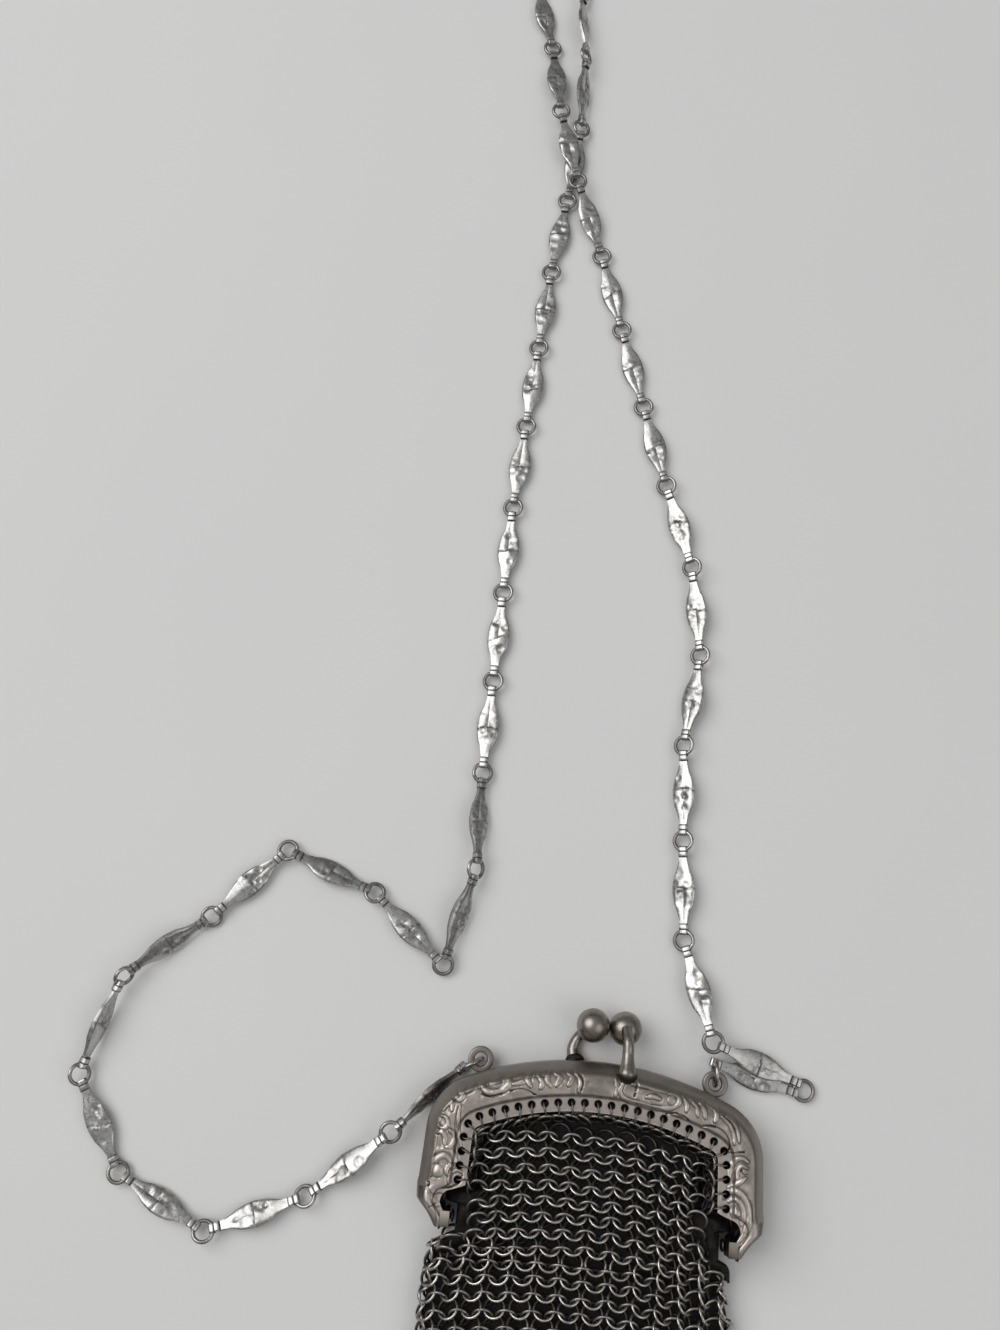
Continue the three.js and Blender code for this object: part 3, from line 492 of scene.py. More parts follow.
ORNAMENT = [
    ("g", 0.34, 0.20, [(-27.9, 6.2), (-28.6, 8.5), (-28.4, 10.8), (-28.0, 14.0), (-27.6, 17.6),
                       (-27.0, 20.5), (-26.0, 22.6), (-24.2, 23.8), (-22.2, 24.9), (-19.9, 25.9)]),
    ("g", 0.18, 0.16, [(-19.9, 25.9), (-17.2, 26.5), (-14.3, 27.0), (-11.1, 27.5), (-8.0, 27.9)]),
    ("r", 0.30, 0.42, [(-28.2, 9.0), (-28.1, 10.9), (-27.3, 11.9), (-26.2, 12.3), (-25.0, 12.2),
                       (-24.1, 11.4), (-23.8, 10.4)]),
    ("r", 0.26, 0.34, [(-27.7, 8.0), (-27.4, 10.0), (-26.6, 11.0), (-25.6, 11.3), (-24.8, 10.8),
                       (-24.5, 10.0)]),
    ("d", 0.34, 1.15, [(-26.7, 8.8)]),
    ("r", 0.26, 0.30, [(-24.2, 9.9), (-24.9, 9.6), (-25.1, 8.8), (-24.6, 8.2)]),
    ("r", 0.20, 0.24, [(-24.1, 6.5), (-24.5, 7.4), (-24.3, 8.5), (-23.4, 9.1), (-22.6, 8.9)]),
    ("g", 0.24, 0.16, [(-22.4, 8.3), (-22.8, 7.1), (-24.2, 6.3), (-25.8, 6.0)]),
    ("g", 0.26, 0.16, [(-28.0, 6.2), (-27.5, 5.4), (-26.8, 4.9), (-26.0, 5.2), (-25.2, 5.1)]),
    ("r", 0.26, 0.40, [(-28.2, 5.2), (-27.8, 3.9), (-27.0, 2.4), (-26.6, 0.8), (-26.5, -1.2)]),
    ("r", 0.22, 0.26, [(-27.0, 4.4), (-26.2, 3.4), (-25.4, 3.6)]),
    ("g", 0.20, 0.13, [(-27.5, 2.8), (-27.0, 3.2), (-26.3, 3.5)]),
    ("r", 0.24, 0.26, [(-27.4, 16.2), (-26.9, 15.7), (-26.1, 15.8), (-25.7, 16.6), (-26.2, 17.5),
                       (-27.1, 17.7)]),
    ("r", 0.24, 0.30, [(-27.3, 14.9), (-26.6, 15.0), (-26.0, 14.2), (-25.9, 13.3), (-25.5, 12.8)]),
    ("r", 0.30, 0.34, [(-25.2, 15.4), (-24.5, 15.0), (-24.2, 14.2), (-24.7, 13.2), (-25.4, 12.7)]),
    ("g", 0.22, 0.14, [(-23.5, 12.3), (-24.0, 14.0), (-24.4, 15.8), (-24.5, 17.5), (-24.3, 19.4)]),
    ("r", 0.20, 0.22, [(-23.0, 12.9), (-23.5, 14.3), (-23.8, 16.0), (-24.0, 18.0), (-23.9, 19.6)]),
    ("r", 0.28, 0.34, [(-27.0, 18.6), (-26.2, 19.6), (-25.5, 20.2), (-25.3, 18.8)]),
    ("r", 0.34, 0.40, [(-26.4, 21.6), (-25.5, 21.9), (-24.7, 21.0), (-24.1, 20.7), (-23.6, 21.5),
                       (-23.5, 22.6)]),
    ("r", 0.30, 0.32, [(-24.9, 23.3), (-24.1, 22.7), (-24.2, 21.8)]),
    ("g", 0.22, 0.14, [(-22.6, 22.9), (-21.6, 23.6), (-21.1, 24.5), (-21.6, 25.1)]),
    ("r", 0.24, 0.34, [(-22.9, 22.0), (-22.2, 22.8), (-21.9, 23.9)]),
    ("r", 0.34, 0.42, [(-19.6, 25.5), (-20.4, 24.7), (-20.5, 23.6), (-19.9, 22.7), (-18.7, 22.3),
                       (-17.3, 22.7), (-16.2, 23.5), (-15.8, 24.6), (-16.4, 25.5), (-17.9, 25.8)]),
    ("d", 0.26, 1.15, [(-18.2, 24.2)]),
    ("g", 0.24, 0.16, [(-20.4, 22.0), (-19.3, 21.7), (-18.0, 21.9), (-16.9, 22.3)]),
    ("g", 0.30, 0.17, [(-15.4, 23.0), (-14.3, 23.4), (-13.1, 23.5), (-12.0, 23.2), (-11.1, 22.7)]),
    ("r", 0.24, 0.34, [(-15.0, 24.1), (-13.8, 24.5), (-12.8, 25.3), (-12.8, 26.2)]),
    ("r", 0.28, 0.34, [(-12.2, 26.1), (-12.6, 25.1), (-12.0, 24.0)]),
    ("r", 0.28, 0.34, [(-10.8, 25.9), (-10.1, 24.9), (-10.3, 23.9)]),
    ("r", 0.18, 0.30, [(-9.0, 26.5), (-9.2, 25.4), (-8.6, 24.4)]),
    ("r", 0.18, 0.32, [(-8.0, 26.9), (-7.0, 25.9), (-7.6, 24.6)]),
    ("r", 0.14, 0.28, [(-5.8, 27.2), (-4.9, 26.2), (-5.5, 24.8)]),
    ("r", 0.30, 0.34, [(-4.3, 27.1), (-3.4, 25.7), (-3.6, 24.0)]),
    ("g", 0.16, 0.14, [(-3.9, 27.0), (-3.0, 25.7), (-3.2, 24.2)]),
    ("r", 0.20, 0.30, [(2.7, 26.6), (3.2, 25.2), (2.8, 24.0)]),
    ("r", 0.26, 0.34, [(4.0, 26.2), (3.6, 24.8), (4.5, 23.6), (6.7, 23.1), (9.0, 22.7), (11.4, 22.7),
                       (13.1, 23.2), (14.0, 24.1), (13.5, 25.0), (12.0, 25.3)]),
    ("r", 0.20, 0.28, [(5.6, 26.2), (7.6, 26.1), (9.7, 25.7), (11.7, 25.5)]),
    ("g", 0.24, 0.22, [(6.5, 26.2), (6.3, 25.3)]),
    ("g", 0.26, 0.20, [(6.2, 24.6), (6.1, 24.2)]),
    ("d", 0.20, 0.8, [(12.6, 24.2)]),
    ("r", 0.22, 0.30, [(8.2, 24.3), (9.4, 24.5), (10.6, 24.2)]),
    ("g", 0.30, 0.18, [(11.9, 21.9), (13.3, 22.1), (14.8, 21.9), (15.8, 21.3)]),
    ("r", 0.28, 0.30, [(14.9, 24.6), (15.4, 23.6), (15.2, 22.7)]),
    ("r", 0.28, 0.28, [(16.3, 24.3), (17.1, 23.3), (17.3, 22.1)]),
    ("r", 0.28, 0.28, [(17.6, 24.3), (18.4, 23.2), (18.6, 21.9)]),
    ("r", 0.30, 0.34, [(18.9, 24.3), (20.1, 23.7), (20.6, 22.7), (20.3, 21.5)]),
    ("g", 0.30, 0.17, [(18.4, 20.5), (20.0, 20.7), (21.5, 20.3), (22.5, 19.4), (23.1, 17.9),
                       (22.9, 16.6)]),
    ("r", 0.26, 0.26, [(21.5, 22.4), (22.8, 21.3), (23.6, 19.8), (23.8, 18.2)]),
    ("r", 0.24, 0.24, [(22.4, 22.6), (23.6, 21.6), (24.4, 20.1), (24.6, 18.6)]),
    ("g", 0.26, 0.15, [(23.0, 16.7), (24.1, 16.8), (25.6, 17.0)]),
    ("r", 0.28, 0.30, [(23.4, 12.6), (23.5, 14.4), (24.2, 15.6), (25.3, 16.0), (26.3, 15.5)]),
    ("r", 0.22, 0.24, [(24.6, 12.4), (24.6, 13.8), (25.3, 14.8), (26.2, 14.5)]),
    ("g", 0.24, 0.16, [(25.2, 14.1), (25.7, 13.5), (26.4, 13.6)]),
    ("r", 0.26, 0.30, [(26.0, 12.9), (25.0, 12.1), (24.0, 11.5), (23.3, 11.0)]),
    ("r", 0.34, 0.42, [(22.7, 9.4), (23.4, 10.3), (24.6, 10.6), (25.7, 10.0), (26.6, 8.6), (26.9, 7.0),
                       (26.8, 5.2), (26.3, 3.8)]),
    ("r", 0.28, 0.32, [(23.5, 8.9), (24.3, 9.4), (25.2, 8.9), (25.8, 7.8), (26.0, 6.6), (25.8, 5.4)]),
    ("d", 0.28, 0.9, [(24.6, 7.2)]),
    ("g", 0.26, 0.16, [(21.0, 7.5), (21.8, 6.3), (23.0, 5.6), (24.1, 5.5)]),
    ("r", 0.26, 0.28, [(24.1, 5.2), (24.8, 4.8), (24.8, 4.0), (24.2, 3.5)]),
    ("r", 0.26, 0.30, [(24.2, 2.6), (25.4, 2.9), (26.4, 3.8)]),
    ("d", 0.24, 0.42, [(25.0, 1.6)]),
    ("d", 0.24, 0.40, [(25.4, 0.4)]),
    ("d", 0.22, 0.36, [(25.7, -0.8)]),
]
SURROUND = 0.17
STROKE_STEP = 0.08


def dense_line(points):
    """A smooth line through the points, with close steps."""
    points = np.array(points, float)
    if len(points) == 1:
        return points
    padded = run_on(points)
    rows = []
    for a, b, c, d in zip(padded, padded[1:], padded[2:], padded[3:]):
        count = max(2, int(np.linalg.norm(c - b) / STROKE_STEP))
        t = (np.arange(count) / count)[:, None]
        rows.append(curve_piece(a, b, c, d, t))
    return np.concatenate([*rows, points[-1:]])


def ornament(x, y):
    """The relief's height over the plain sheet, and how much dirt lies there, at points in plan."""
    height = np.zeros(len(x))
    dirt_and_shade = np.zeros(len(x))
    for kind, tall, half, points in ORNAMENT:
        line = dense_line(points)
        reach = half + 4 * SURROUND
        low, high = line.min(0) - reach, line.max(0) + reach
        near = np.nonzero((x > low[0]) & (x < high[0]) & (y > low[1]) & (y < high[1]))[0]
        if not len(near):
            continue
        gap = np.stack([x[near], y[near]], -1)[:, None] - line[None]
        far = np.sqrt((gap**2).sum(-1))
        away = far.min(1)
        if kind == "g":
            profile = np.exp(-((away / half) ** 2))
            height[near] -= tall * profile
            dirt_and_shade[near] = np.maximum(dirt_and_shade[near], profile)
            continue
        share = far.argmin(1) / max(1, len(line) - 1)
        width = 1.45 * half * (1 - 0.35 * np.abs(2 * share - 1) ** 3)
        bead = np.clip(1 - (away / width) ** 2, 0, 1)
        if kind == "r":
            bead = bead**0.75
        moat = np.exp(-(((away - width - 0.05) / SURROUND) ** 2))
        height[near] = np.maximum(height[near], 0.6 * tall * bead) - 0.07 * moat * (bead <= 0)
        dirt_and_shade[near] = np.maximum(dirt_and_shade[near] * (1 - bead), 0.6 * moat)
    return height, dirt_and_shade


def plain_height(inset, facing_up):
    """The sheet's outer face over the parting plane."""
    face = FACE[facing_up]
    bevel = WALL + (face - WALL) * (1 - (1 - np.clip(inset / BEVEL, 0, 1)) ** 1.6)
    crown = 0.14 * np.sin(np.pi * np.clip((inset - BEVEL) / (FLANGE_AT - BEVEL), 0, 1))
    down = np.clip((inset - FLANGE_AT + 0.1) / 0.7, 0, 1)
    return bevel + crown - STEP * down * down * (3 - 2 * down)


def frame_rows(step, insets, facing_up, relief):
    """The frame half's section at each station: up the wall, over the face, and back underneath."""
    places = stations(step)
    under = insets[insets > 0.9][::-4]
    px, py, dx, dy, narrow, rise = (places[:, k][:, None] for k in range(6))

    def spread(inset):
        kept = np.minimum(inset, SHEET)
        return kept + (inset - kept) * narrow

    def placed(inset, high):
        across = spread(inset)
        return np.stack([px - dx * across, py - dy * across,
                         HALF_DEPTH + facing_up * high * rise], -1)

    top_inset = np.broadcast_to(insets, (len(places), len(insets)))
    flat = placed(top_inset, plain_height(top_inset, facing_up))
    high = plain_height(top_inset, facing_up)
    if relief:
        x, y = flat[..., 0].ravel(), flat[..., 1].ravel()
        rise_by, _ = ornament(x, y)
        rise_by = rise_by.reshape(high.shape)
        window = np.clip((top_inset - 1.2) / 0.6, 0, 1) * np.clip((BAND - 0.15 - top_inset) / 0.4, 0, 1)
        lumps = 0.02 * noise_field(x, y, 0.5, SEED_FRAME) + 0.06 * noise_field(x, y, 1.15, SEED_FRAME + 1)
        in_face = soft_step(BEVEL, BEVEL + 0.9, top_inset) * soft_step(-0.5, -0.2, FLANGE_AT - top_inset)
        high = high + window * (rise_by + lumps.reshape(high.shape) * in_face) * narrow
    top = placed(top_inset, high)
    wall_heights = np.array([0.15, 0.7, 1.3])
    wall = placed(np.zeros((len(places), 3)), np.broadcast_to(wall_heights, (len(places), 3)))
    edge_high = high[:, -1:]
    edge = placed(np.full((len(places), 2), BAND + 0.04), edge_high - np.array([0.2, 0.5]))
    below_inset = np.broadcast_to(under, (len(places), len(under)))
    below = placed(below_inset, plain_height(below_inset, facing_up) - SHEET)
    inner = placed(np.full((len(places), 2), SHEET), np.broadcast_to([1.4, 0.15], (len(places), 2)))
    return np.concatenate([wall, top, edge, below, inner], 1)


def frame_insets(fine):
    """Where across the band the section has its points, closer together on the front half."""
    bevel = np.linspace(0, BEVEL, 12 if fine else 8)[:-1]
    face = np.linspace(BEVEL, FLANGE_AT, 34 if fine else 6)[:-1]
    down = np.linspace(FLANGE_AT, FLANGE_AT + 0.5, 6 if fine else 4)[:-1]
    flange = np.linspace(FLANGE_AT + 0.5, BAND, 18 if fine else 6)
    return np.concatenate([bevel, face, down, flange])


HOLE_COUNT, HOLE_RADIUS, HOLE_TO_EDGE, HOLE_FOOT_Y = 29, 0.68, 1.45, 7.6
HOLE_INSET = BAND - HOLE_TO_EDGE
HOLE_SIDES = 24


def hole_places():
    reach = inset_length(HOLE_INSET, HOLE_FOOT_Y)
    return [band_point(reach * (2 * i / (HOLE_COUNT - 1) - 1), HOLE_INSET) for i in range(HOLE_COUNT)]


def pierce(piece):
    """Cuts the row of round holes."""
    cutters = Parts()
    turn = np.arange(HOLE_SIDES) * TAU / HOLE_SIDES
    for point, _ in hole_places():
        circle = np.stack([point[0] + HOLE_RADIUS * np.cos(turn), point[1] + HOLE_RADIUS * np.sin(turn)], -1)
        rows = [np.column_stack([circle, np.full(HOLE_SIDES, z)]) for z in (-2.0, DEPTH + 2)]
        cutters.tube(rows)
    mesh = bpy.data.meshes.new("cutters")
    mesh.from_pydata((np.concatenate(cutters.points) * MM).tolist(), [], cutters.faces)
    tool = new_object("cutters", mesh)
    cut = piece.modifiers.new("holes", "BOOLEAN")
    cut.operation = "DIFFERENCE"
    cut.solver = "MANIFOLD"
    cut.object = tool
    apply_modifiers(piece)
    bpy.data.objects.remove(tool)


def apply_modifiers(piece):
    bpy.context.view_layer.update()
    shaped = piece.evaluated_get(bpy.context.evaluated_depsgraph_get())
    mesh = bpy.data.meshes.new_from_object(shaped)
    piece.modifiers.clear()
    piece.data = mesh


def mark_dirt_shade_and_highlight(piece, facing_up):
    """Stores how much dirt and painted shade each point of the frame holds, how far it is into the paler
    face, and how far it stands out, as rubbed crests with a painted highlight."""
    mesh = piece.data
    co = np.zeros(len(mesh.vertices) * 3)
    mesh.vertices.foreach_get("co", co)
    x, y, z = (co.reshape(-1, 3) / MM).T
    height, dirt_and_shade = ornament(x, y)
    inset = inset_of(x, y)
    faded = soft_step(-12.0, -5.0, x)
    # painted shade: a dark line where the rim meets the face, only on the left, where this groove lies in
    # shade
    at_rim = np.exp(-(((inset - 2.35) / 0.12) ** 2)) * (1 - faded) * soft_step(2.0, 6.0, y)
    at_step = 0.15 * np.exp(-(((inset - FLANGE_AT - 0.3) / 0.25) ** 2))
    dirt_and_shade = np.maximum(dirt_and_shade * soft_step(1.6, 2.4, inset), np.maximum(0.75 * at_rim, at_step))
    for point, _ in hole_places():
        away = np.hypot(x - point[0], y - point[1])
        dirt_and_shade = np.maximum(dirt_and_shade, np.exp(-(((away - HOLE_RADIUS) / 0.14) ** 2)) * 0.6)
    face = facing_up * (z - HALF_DEPTH)
    inside = face < plain_height(inset, facing_up) - 0.35
    # painted shade: the sheet's underside near black, and the hinge region too, there partly real oxide
    dirt_and_shade = np.where(inside & (inset >= 0.5), 0.95, dirt_and_shade)
    dirt_and_shade = np.where((np.abs(x) < 25.6 - 0.3 * np.clip(y, 0, 2)) & (y < 2.4), 0.95, dirt_and_shade)
    zone = soft_step(2.3 + 0.5 * faded, 3.0 + 1.4 * faded, inset)
    plain = np.exp(-(((x + 1.0) / 3.4) ** 2)) * (y > 20) * (inset < FLANGE_AT + 0.2)
    # painted highlight, partly real rubbing: paler colour on the raised crests
    rubbed = height + 0.10 * noise_field(x, y, 1.15, SEED_FRAME + 1) * (inset < FLANGE_AT)
    crest_and_highlight = np.clip(rubbed / 0.20, 0, 1) * soft_step(2.0, 3.0, inset) * 0.6
    # painted highlight: a bright line along the flange's inner edge
    crest_and_highlight = np.maximum(crest_and_highlight, 0.6 * soft_step(BAND - 0.25, BAND - 0.02, inset) * ~inside)
    if facing_up < 0:
        dirt_and_shade, crest_and_highlight = dirt_and_shade * 0.3, crest_and_highlight * 0.2
        # painted shade: the back half's underside stays near black as well
        dirt_and_shade = np.where(inside & (inset >= 0.5), 0.95, dirt_and_shade)
    for name, values in (("grime_and_shade", dirt_and_shade), ("zone", zone * (1 - 0.7 * plain)), ("crest_and_highlight", crest_and_highlight)):
        layer = mesh.attributes.new(name, "FLOAT", "POINT")
        layer.data.foreach_set("value", values.astype(np.float32))


def lathe(axis_at, axis, start, profile, count):
    """Rows of a turned shape: profile is (along, radius); start is where its first meridian points."""
    axis = unit(np.array(axis, float))
    start = np.array(start, float)
    start = unit(start - axis * (start @ axis))
    side = np.cross(axis, start)
    turn = np.arange(count) * TAU / count
    spoke = np.cos(turn)[:, None] * start + np.sin(turn)[:, None] * side
    return [np.array(axis_at) + axis * along + spoke * radius for along, radius in profile]


def rounded_disc(half_thick, radius, inner=0.0, soft=0.16, steps=4):
    """A disc's or washer's profile with soft edges, as a closed loop where it has a hole."""
    bend = np.linspace(0, math.pi / 2, steps)
    rim = [(half_thick - soft + soft * math.cos(a), radius - soft + soft * math.sin(a)) for a in bend]
    rim += [(-along, reach) for along, reach in rim[::-1]]
    if not inner:
        return [(half_thick, 0.02), *rim, (-half_thick, 0.02)]
    hole = [(-half_thick + soft - soft * math.cos(a), inner + soft - soft * math.sin(a)) for a in bend]
    hole += [(-along, reach) for along, reach in hole[::-1]]
    return [*rim, *hole]


HINGE_X, HINGE_Y, TAB_RADIUS, TAB_THICK, GAP = 24.7, 1.2, 1.6, 0.7, 0.3


def hinge_tabs(parts, facing_up):
    """The round tab under each leg, drilled for its rivet, with the neck that joins it to the leg."""
    for side in (-1, 1):
        offset = (-facing_up) * (GAP + TAB_THICK) / 2
        x = side * (HINGE_X + offset)
        profile = rounded_disc(TAB_THICK / 2, TAB_RADIUS, 0.8)
        parts.tube(lathe((x, HINGE_Y, HALF_DEPTH), (1, 0, 0), (0, 1, 0), profile, 40), closed_along=True)
        high = FACE[facing_up] * 0.97 - SHEET / 2
        half = TAB_THICK / 2 - 0.01
        rows = []
        for z in np.linspace(1.0, high, 12):
            wide = 0.8 * TAB_RADIUS
            bracket = 2.3 * max(0.0, z / high - 0.6) * side
            low, far = sorted((-half * side, half * side + bracket))
            corner = [(low, -wide), (far, -wide), (far, wide), (low, wide)]
            rows.append([(x + a, HINGE_Y + b, HALF_DEPTH + facing_up * z) for a, b in corner])
        parts.tube(rows)


EYE_X, EYE_OUT, EYE_RADIUS, EYE_HOLE, EYE_THICK, EYE_Z = 21.2, 2.0, 2.3, 1.15, 1.1, 2.65


def eye_centre(side):
    distance = math.asin(EYE_X / (TOP_RADIUS + EYE_OUT)) * TOP_RADIUS
    point, out = band_point(side * distance, 0)
    point = point + out * EYE_OUT
    return np.array([point[0], point[1], EYE_Z]), out


def eyes(parts):
    for side in (-1, 1):
        middle, out = eye_centre(side)
        profile = rounded_disc(EYE_THICK / 2, EYE_RADIUS, EYE_HOLE, 0.3, 5)
        parts.tube(lathe(middle, UP, (1, 0, 0), profile, 48), closed_along=True)
        across = np.array([-out[1], out[0], 0])
        away = np.array([out[0], out[1], 0])
        rows = []
        for share in np.linspace(0, 1, 7):
            wide = 1.1 + 0.75 * share**2
            at = middle - away * (1.4 + (EYE_OUT - 1.15) * share)
            corner = [(-wide, -0.45), (wide, -0.45), (wide, 0.45), (-wide, 0.45)]
            rows.append([at + across * a + UP * b for a, b in corner])
        parts.tube(rows)


def make_frame(plate):
    for facing_up, name in ((1, "frame_front"), (-1, "frame_back")):
        fine = facing_up > 0
        shell = Parts()
        shell.tube(frame_rows(0.13 if fine else 0.4, frame_insets(fine), facing_up, fine))
        piece = build(name + "_shell", shell, plate)
        fix_normals(piece.data)
        pierce(piece)
        extra = Parts()
        hinge_tabs(extra, facing_up)
        if facing_up < 0:
            eyes(extra)
        fittings = build(name + "_fittings", extra, plate)
        fix_normals(fittings.data)
        joined = join([piece, fittings], name + "_stamped")
        mark_dirt_shade_and_highlight(joined, facing_up)
        joined.data.polygons.foreach_set("use_smooth", [True] * len(joined.data.polygons))
        joined.data.set_sharp_from_angle(angle=math.radians(50))
        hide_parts(name)


def fix_normals(mesh):
    """Turns every face outwards."""
    work = bmesh.new()
    work.from_mesh(mesh)
    bmesh.ops.recalc_face_normals(work, faces=work.faces)
    work.to_mesh(mesh)
    work.free()


def join(pieces, name):
    for each in bpy.context.selected_objects:
        each.select_set(False)
    for each in pieces:
        each.select_set(True)
    bpy.context.view_layer.objects.active = pieces[0]
    bpy.ops.object.join()
    pieces[0].name = name
    return pieces[0]


# The kiss-lock

BALL_RADIUS, STEM_RADIUS, FOOT_RADIUS = 3.0, 0.98, 1.85
BALL_OUT, BALL_SPACING, BALL_TILT, BALL_X = 6.2, 5.9, 0.6, 1.3
KNOB_FOOT = {1: (4.6, 1.5), -1: (-4.1, 0.9)}  # x along the frame, and inset


def curve_through(points, count):
    """A smooth path through the points, in count equal steps."""
    points = np.array(points, float)
    padded = run_on(points)
    rows = []
    for i in range(count + 1):
        place = min(i / count * (len(points) - 1), len(points) - 1 - 1e-9)
        k, t = int(place), place - int(place)
        rows.append(curve_piece(*padded[k : k + 4], t))
    return np.array(rows)


def swept(path, radii, count, side):
    """Rows of circles along a path; side keeps them from twisting."""
    along = unit(np.gradient(path, axis=0))
    first = unit(np.array(side)[None] - along * (along @ np.array(side))[:, None])
    second = np.cross(along, first)
    turn = np.arange(count) * TAU / count
    spoke = np.cos(turn)[None, :, None] * first[:, None] + np.sin(turn)[None, :, None] * second[:, None]
    return path[:, None] + spoke * np.array(radii)[:, None, None]


def ball_into(parts, middle, pole):
    turn = np.linspace(0, math.pi, 33)[1:-1]
    profile = [(-BALL_RADIUS * math.cos(a), BALL_RADIUS * math.sin(a)) for a in turn]
    parts.tube(lathe(middle, pole, (1, 0, 0.1), profile, 56))


def knob(facing_up, material):
    """A flared foot on the bevel, a stem that bends outwards, and a ball over the parting plane."""
    side = facing_up
    face = FACE[facing_up]
    foot_x, foot_inset = KNOB_FOOT[facing_up]
    slope = unit(np.array([face - WALL, BEVEL]))
    point, outward = band_point(math.asin(foot_x / TOP_RADIUS) * TOP_RADIUS, foot_inset)
    out = np.array([outward[0] * slope[0], outward[1] * slope[0], facing_up * slope[1]])
    seat_high = WALL + (face - WALL) * foot_inset / BEVEL
    seat = np.array([point[0], point[1], HALF_DEPTH + facing_up * seat_high]) + out * 0.45
    ball = np.array([BALL_X + side * BALL_SPACING / 2, TOP_Y + BALL_OUT, HALF_DEPTH - facing_up * BALL_TILT])

    def bend(x, beyond, height):
        return [x, TOP_Y + beyond, HALF_DEPTH + facing_up * height]

    sway = -0.5 if facing_up < 0 else 0.0
    path = curve_through([
        seat, seat + out * 0.5,
        bend(seat[0] + sway, 0.3 * BALL_OUT, HALF_DEPTH - 1.1 * STEM_RADIUS),
        bend(0.7 * seat[0] + 0.3 * ball[0] + 0.5 * sway, 0.66 * BALL_OUT, HALF_DEPTH - 1.3 * STEM_RADIUS),
        bend(ball[0], BALL_OUT, 0.85 * BALL_RADIUS - BALL_TILT),
    ], 60)
    gone = np.concatenate([[0], np.cumsum(np.linalg.norm(np.diff(path, axis=0), axis=1))])
    radii = STEM_RADIUS + (FOOT_RADIUS - STEM_RADIUS) * np.exp(-((gone / 1.7) ** 1.3))
    radii -= 0.14 * np.exp(-(((gone - 0.28) / 0.09) ** 2))
    # painted shadow: a dark ring just above the stem's foot, and its lowest rim darkened where it sits on the
    # frame
    wear_and_shade = 1 - 0.95 * np.exp(-(((gone - 0.28) / 0.14) ** 2)) - 0.9 * (gone < 0.12)
    parts = Parts()
    parts.tube(swept(path, radii, 40, (1.0, 0.15, 0.1)), wear_and_shade=np.repeat(np.clip(wear_and_shade, 0, 1), 40))
    ball_into(parts, ball, (0.2 * side, 1.0, 0.3))
    node = "clasp_knob_front" if facing_up > 0 else "clasp_knob_back"
    piece = build(node + "_turned", parts, material, [node])
    fix_normals(piece.data)


def rivets(material):
    """A pin through each pair of tabs, with a low domed head inside the frame."""
    for side, node in ((-1, "hinge_rivet_left"), (1, "hinge_rivet_right")):
        parts = Parts()
        inner = HINGE_X - 1.5 * GAP - TAB_THICK
        outer = HINGE_X + 0.5 * GAP + TAB_THICK
        profile = [(inner - 0.5, 0.05), (inner - 0.49, 0.5), (inner - 0.4, 0.82), (inner - 0.22, 1.02),
                   (inner - 0.05, 1.1), (inner, 1.06), (inner, 0.5), (outer - 0.05, 0.5), (outer, 0.44),
                   (outer + 0.01, 0.05)]
        profile = [(side * along, radius) for along, radius in profile]
        parts.tube(lathe((0, HINGE_Y, HALF_DEPTH), (1, 0, 0), (0, 1, 0), profile, 32))
        piece = build(node + "_domed", parts, material, [node])
        fix_normals(piece.data)


# The pouch's form, as the CAD part has it

POUCH_LENGTH, MOUTH_HIGH, SAG = 43.0, 8.9, 0.8
POUCH_Y = [-43.0, -41.93, -39.13, -34.4, -27.95, -19.35, -12.04, -6.88, -4.21, -2.4, -1.1, 4.0]
POUCH_WIDE = [11.97, 17.67, 22.8, 26.5, 28.2, 27.9, 27.35, 26.6, 26.1, 25.4, 22.6, 21.5]
POUCH_FOLD = [3.9, 3.9, 3.9, 3.9, 3.9, 3.9, 3.98, 4.29, 5.07, 6.8, 8.9, 8.9]
POUCH_MIDDLE = [3.92, 4.18, 4.45, 4.63, 4.81, 5.34, 6.05, 6.85, 7.39, 7.9, 8.1, 8.1]
POUCH_SHIFT = [0, 0, 0, 0, -0.3, -0.4, -0.75, -1.25, -1.15, -0.8, 0, 0]
CORNER_X, CORNER_Y, CORNER_RADIUS, CORNER_SQUASH = 13.0, -27.0, 17.5, 1.12  # the bottom's round corners


def pouch_at(y):
    """Half width, fold height, middle height and shift of the pouch at a height of the purse."""
    y = np.asarray(y, float)
    wide, fold, middle, shift = (
        smooth_rows(POUCH_Y, row, y) for row in (POUCH_WIDE, POUCH_FOLD, POUCH_MIDDLE, POUCH_SHIFT))
    reach = TOP_RADIUS - BAND - GAP
    arch = np.sqrt(np.maximum(reach**2 - (y - TOP_C[1]) ** 2, 1))
    side = FOOT_X - BAND - GAP - (y - FOOT_Y) * math.tan(LEAN)
    return np.where(y > FOOT_Y, np.minimum(arch, side), wide), fold, middle, shift


def roof(x, y):
    """The height of the front sheet's face."""
    wide, fold, middle, shift = pouch_at(y)
    u = np.clip(np.abs(x - shift) / wide, 0, 1)
    below = fold + (middle - fold) * (1 - u**4)
    mouth = MOUTH_HIGH - SAG * (1 - u**2)
    blend = np.clip((y + 5.5) / 4, 0, 1)
    return below * (1 - blend) + mouth * blend


RING_PITCH, RING_ROW, RING_TILT = 4.2, 1.36, 37.0
RING_MEAN, RING_WIRE = 1.75, 0.25
TOP_ROW = 18.9  # how far up the first row under the arch lies
TOP_CROWDING = 0.76  # the rows' share of RING_ROW above it
BACK_TILT, BACK_HIGH = 31.0, 1.32


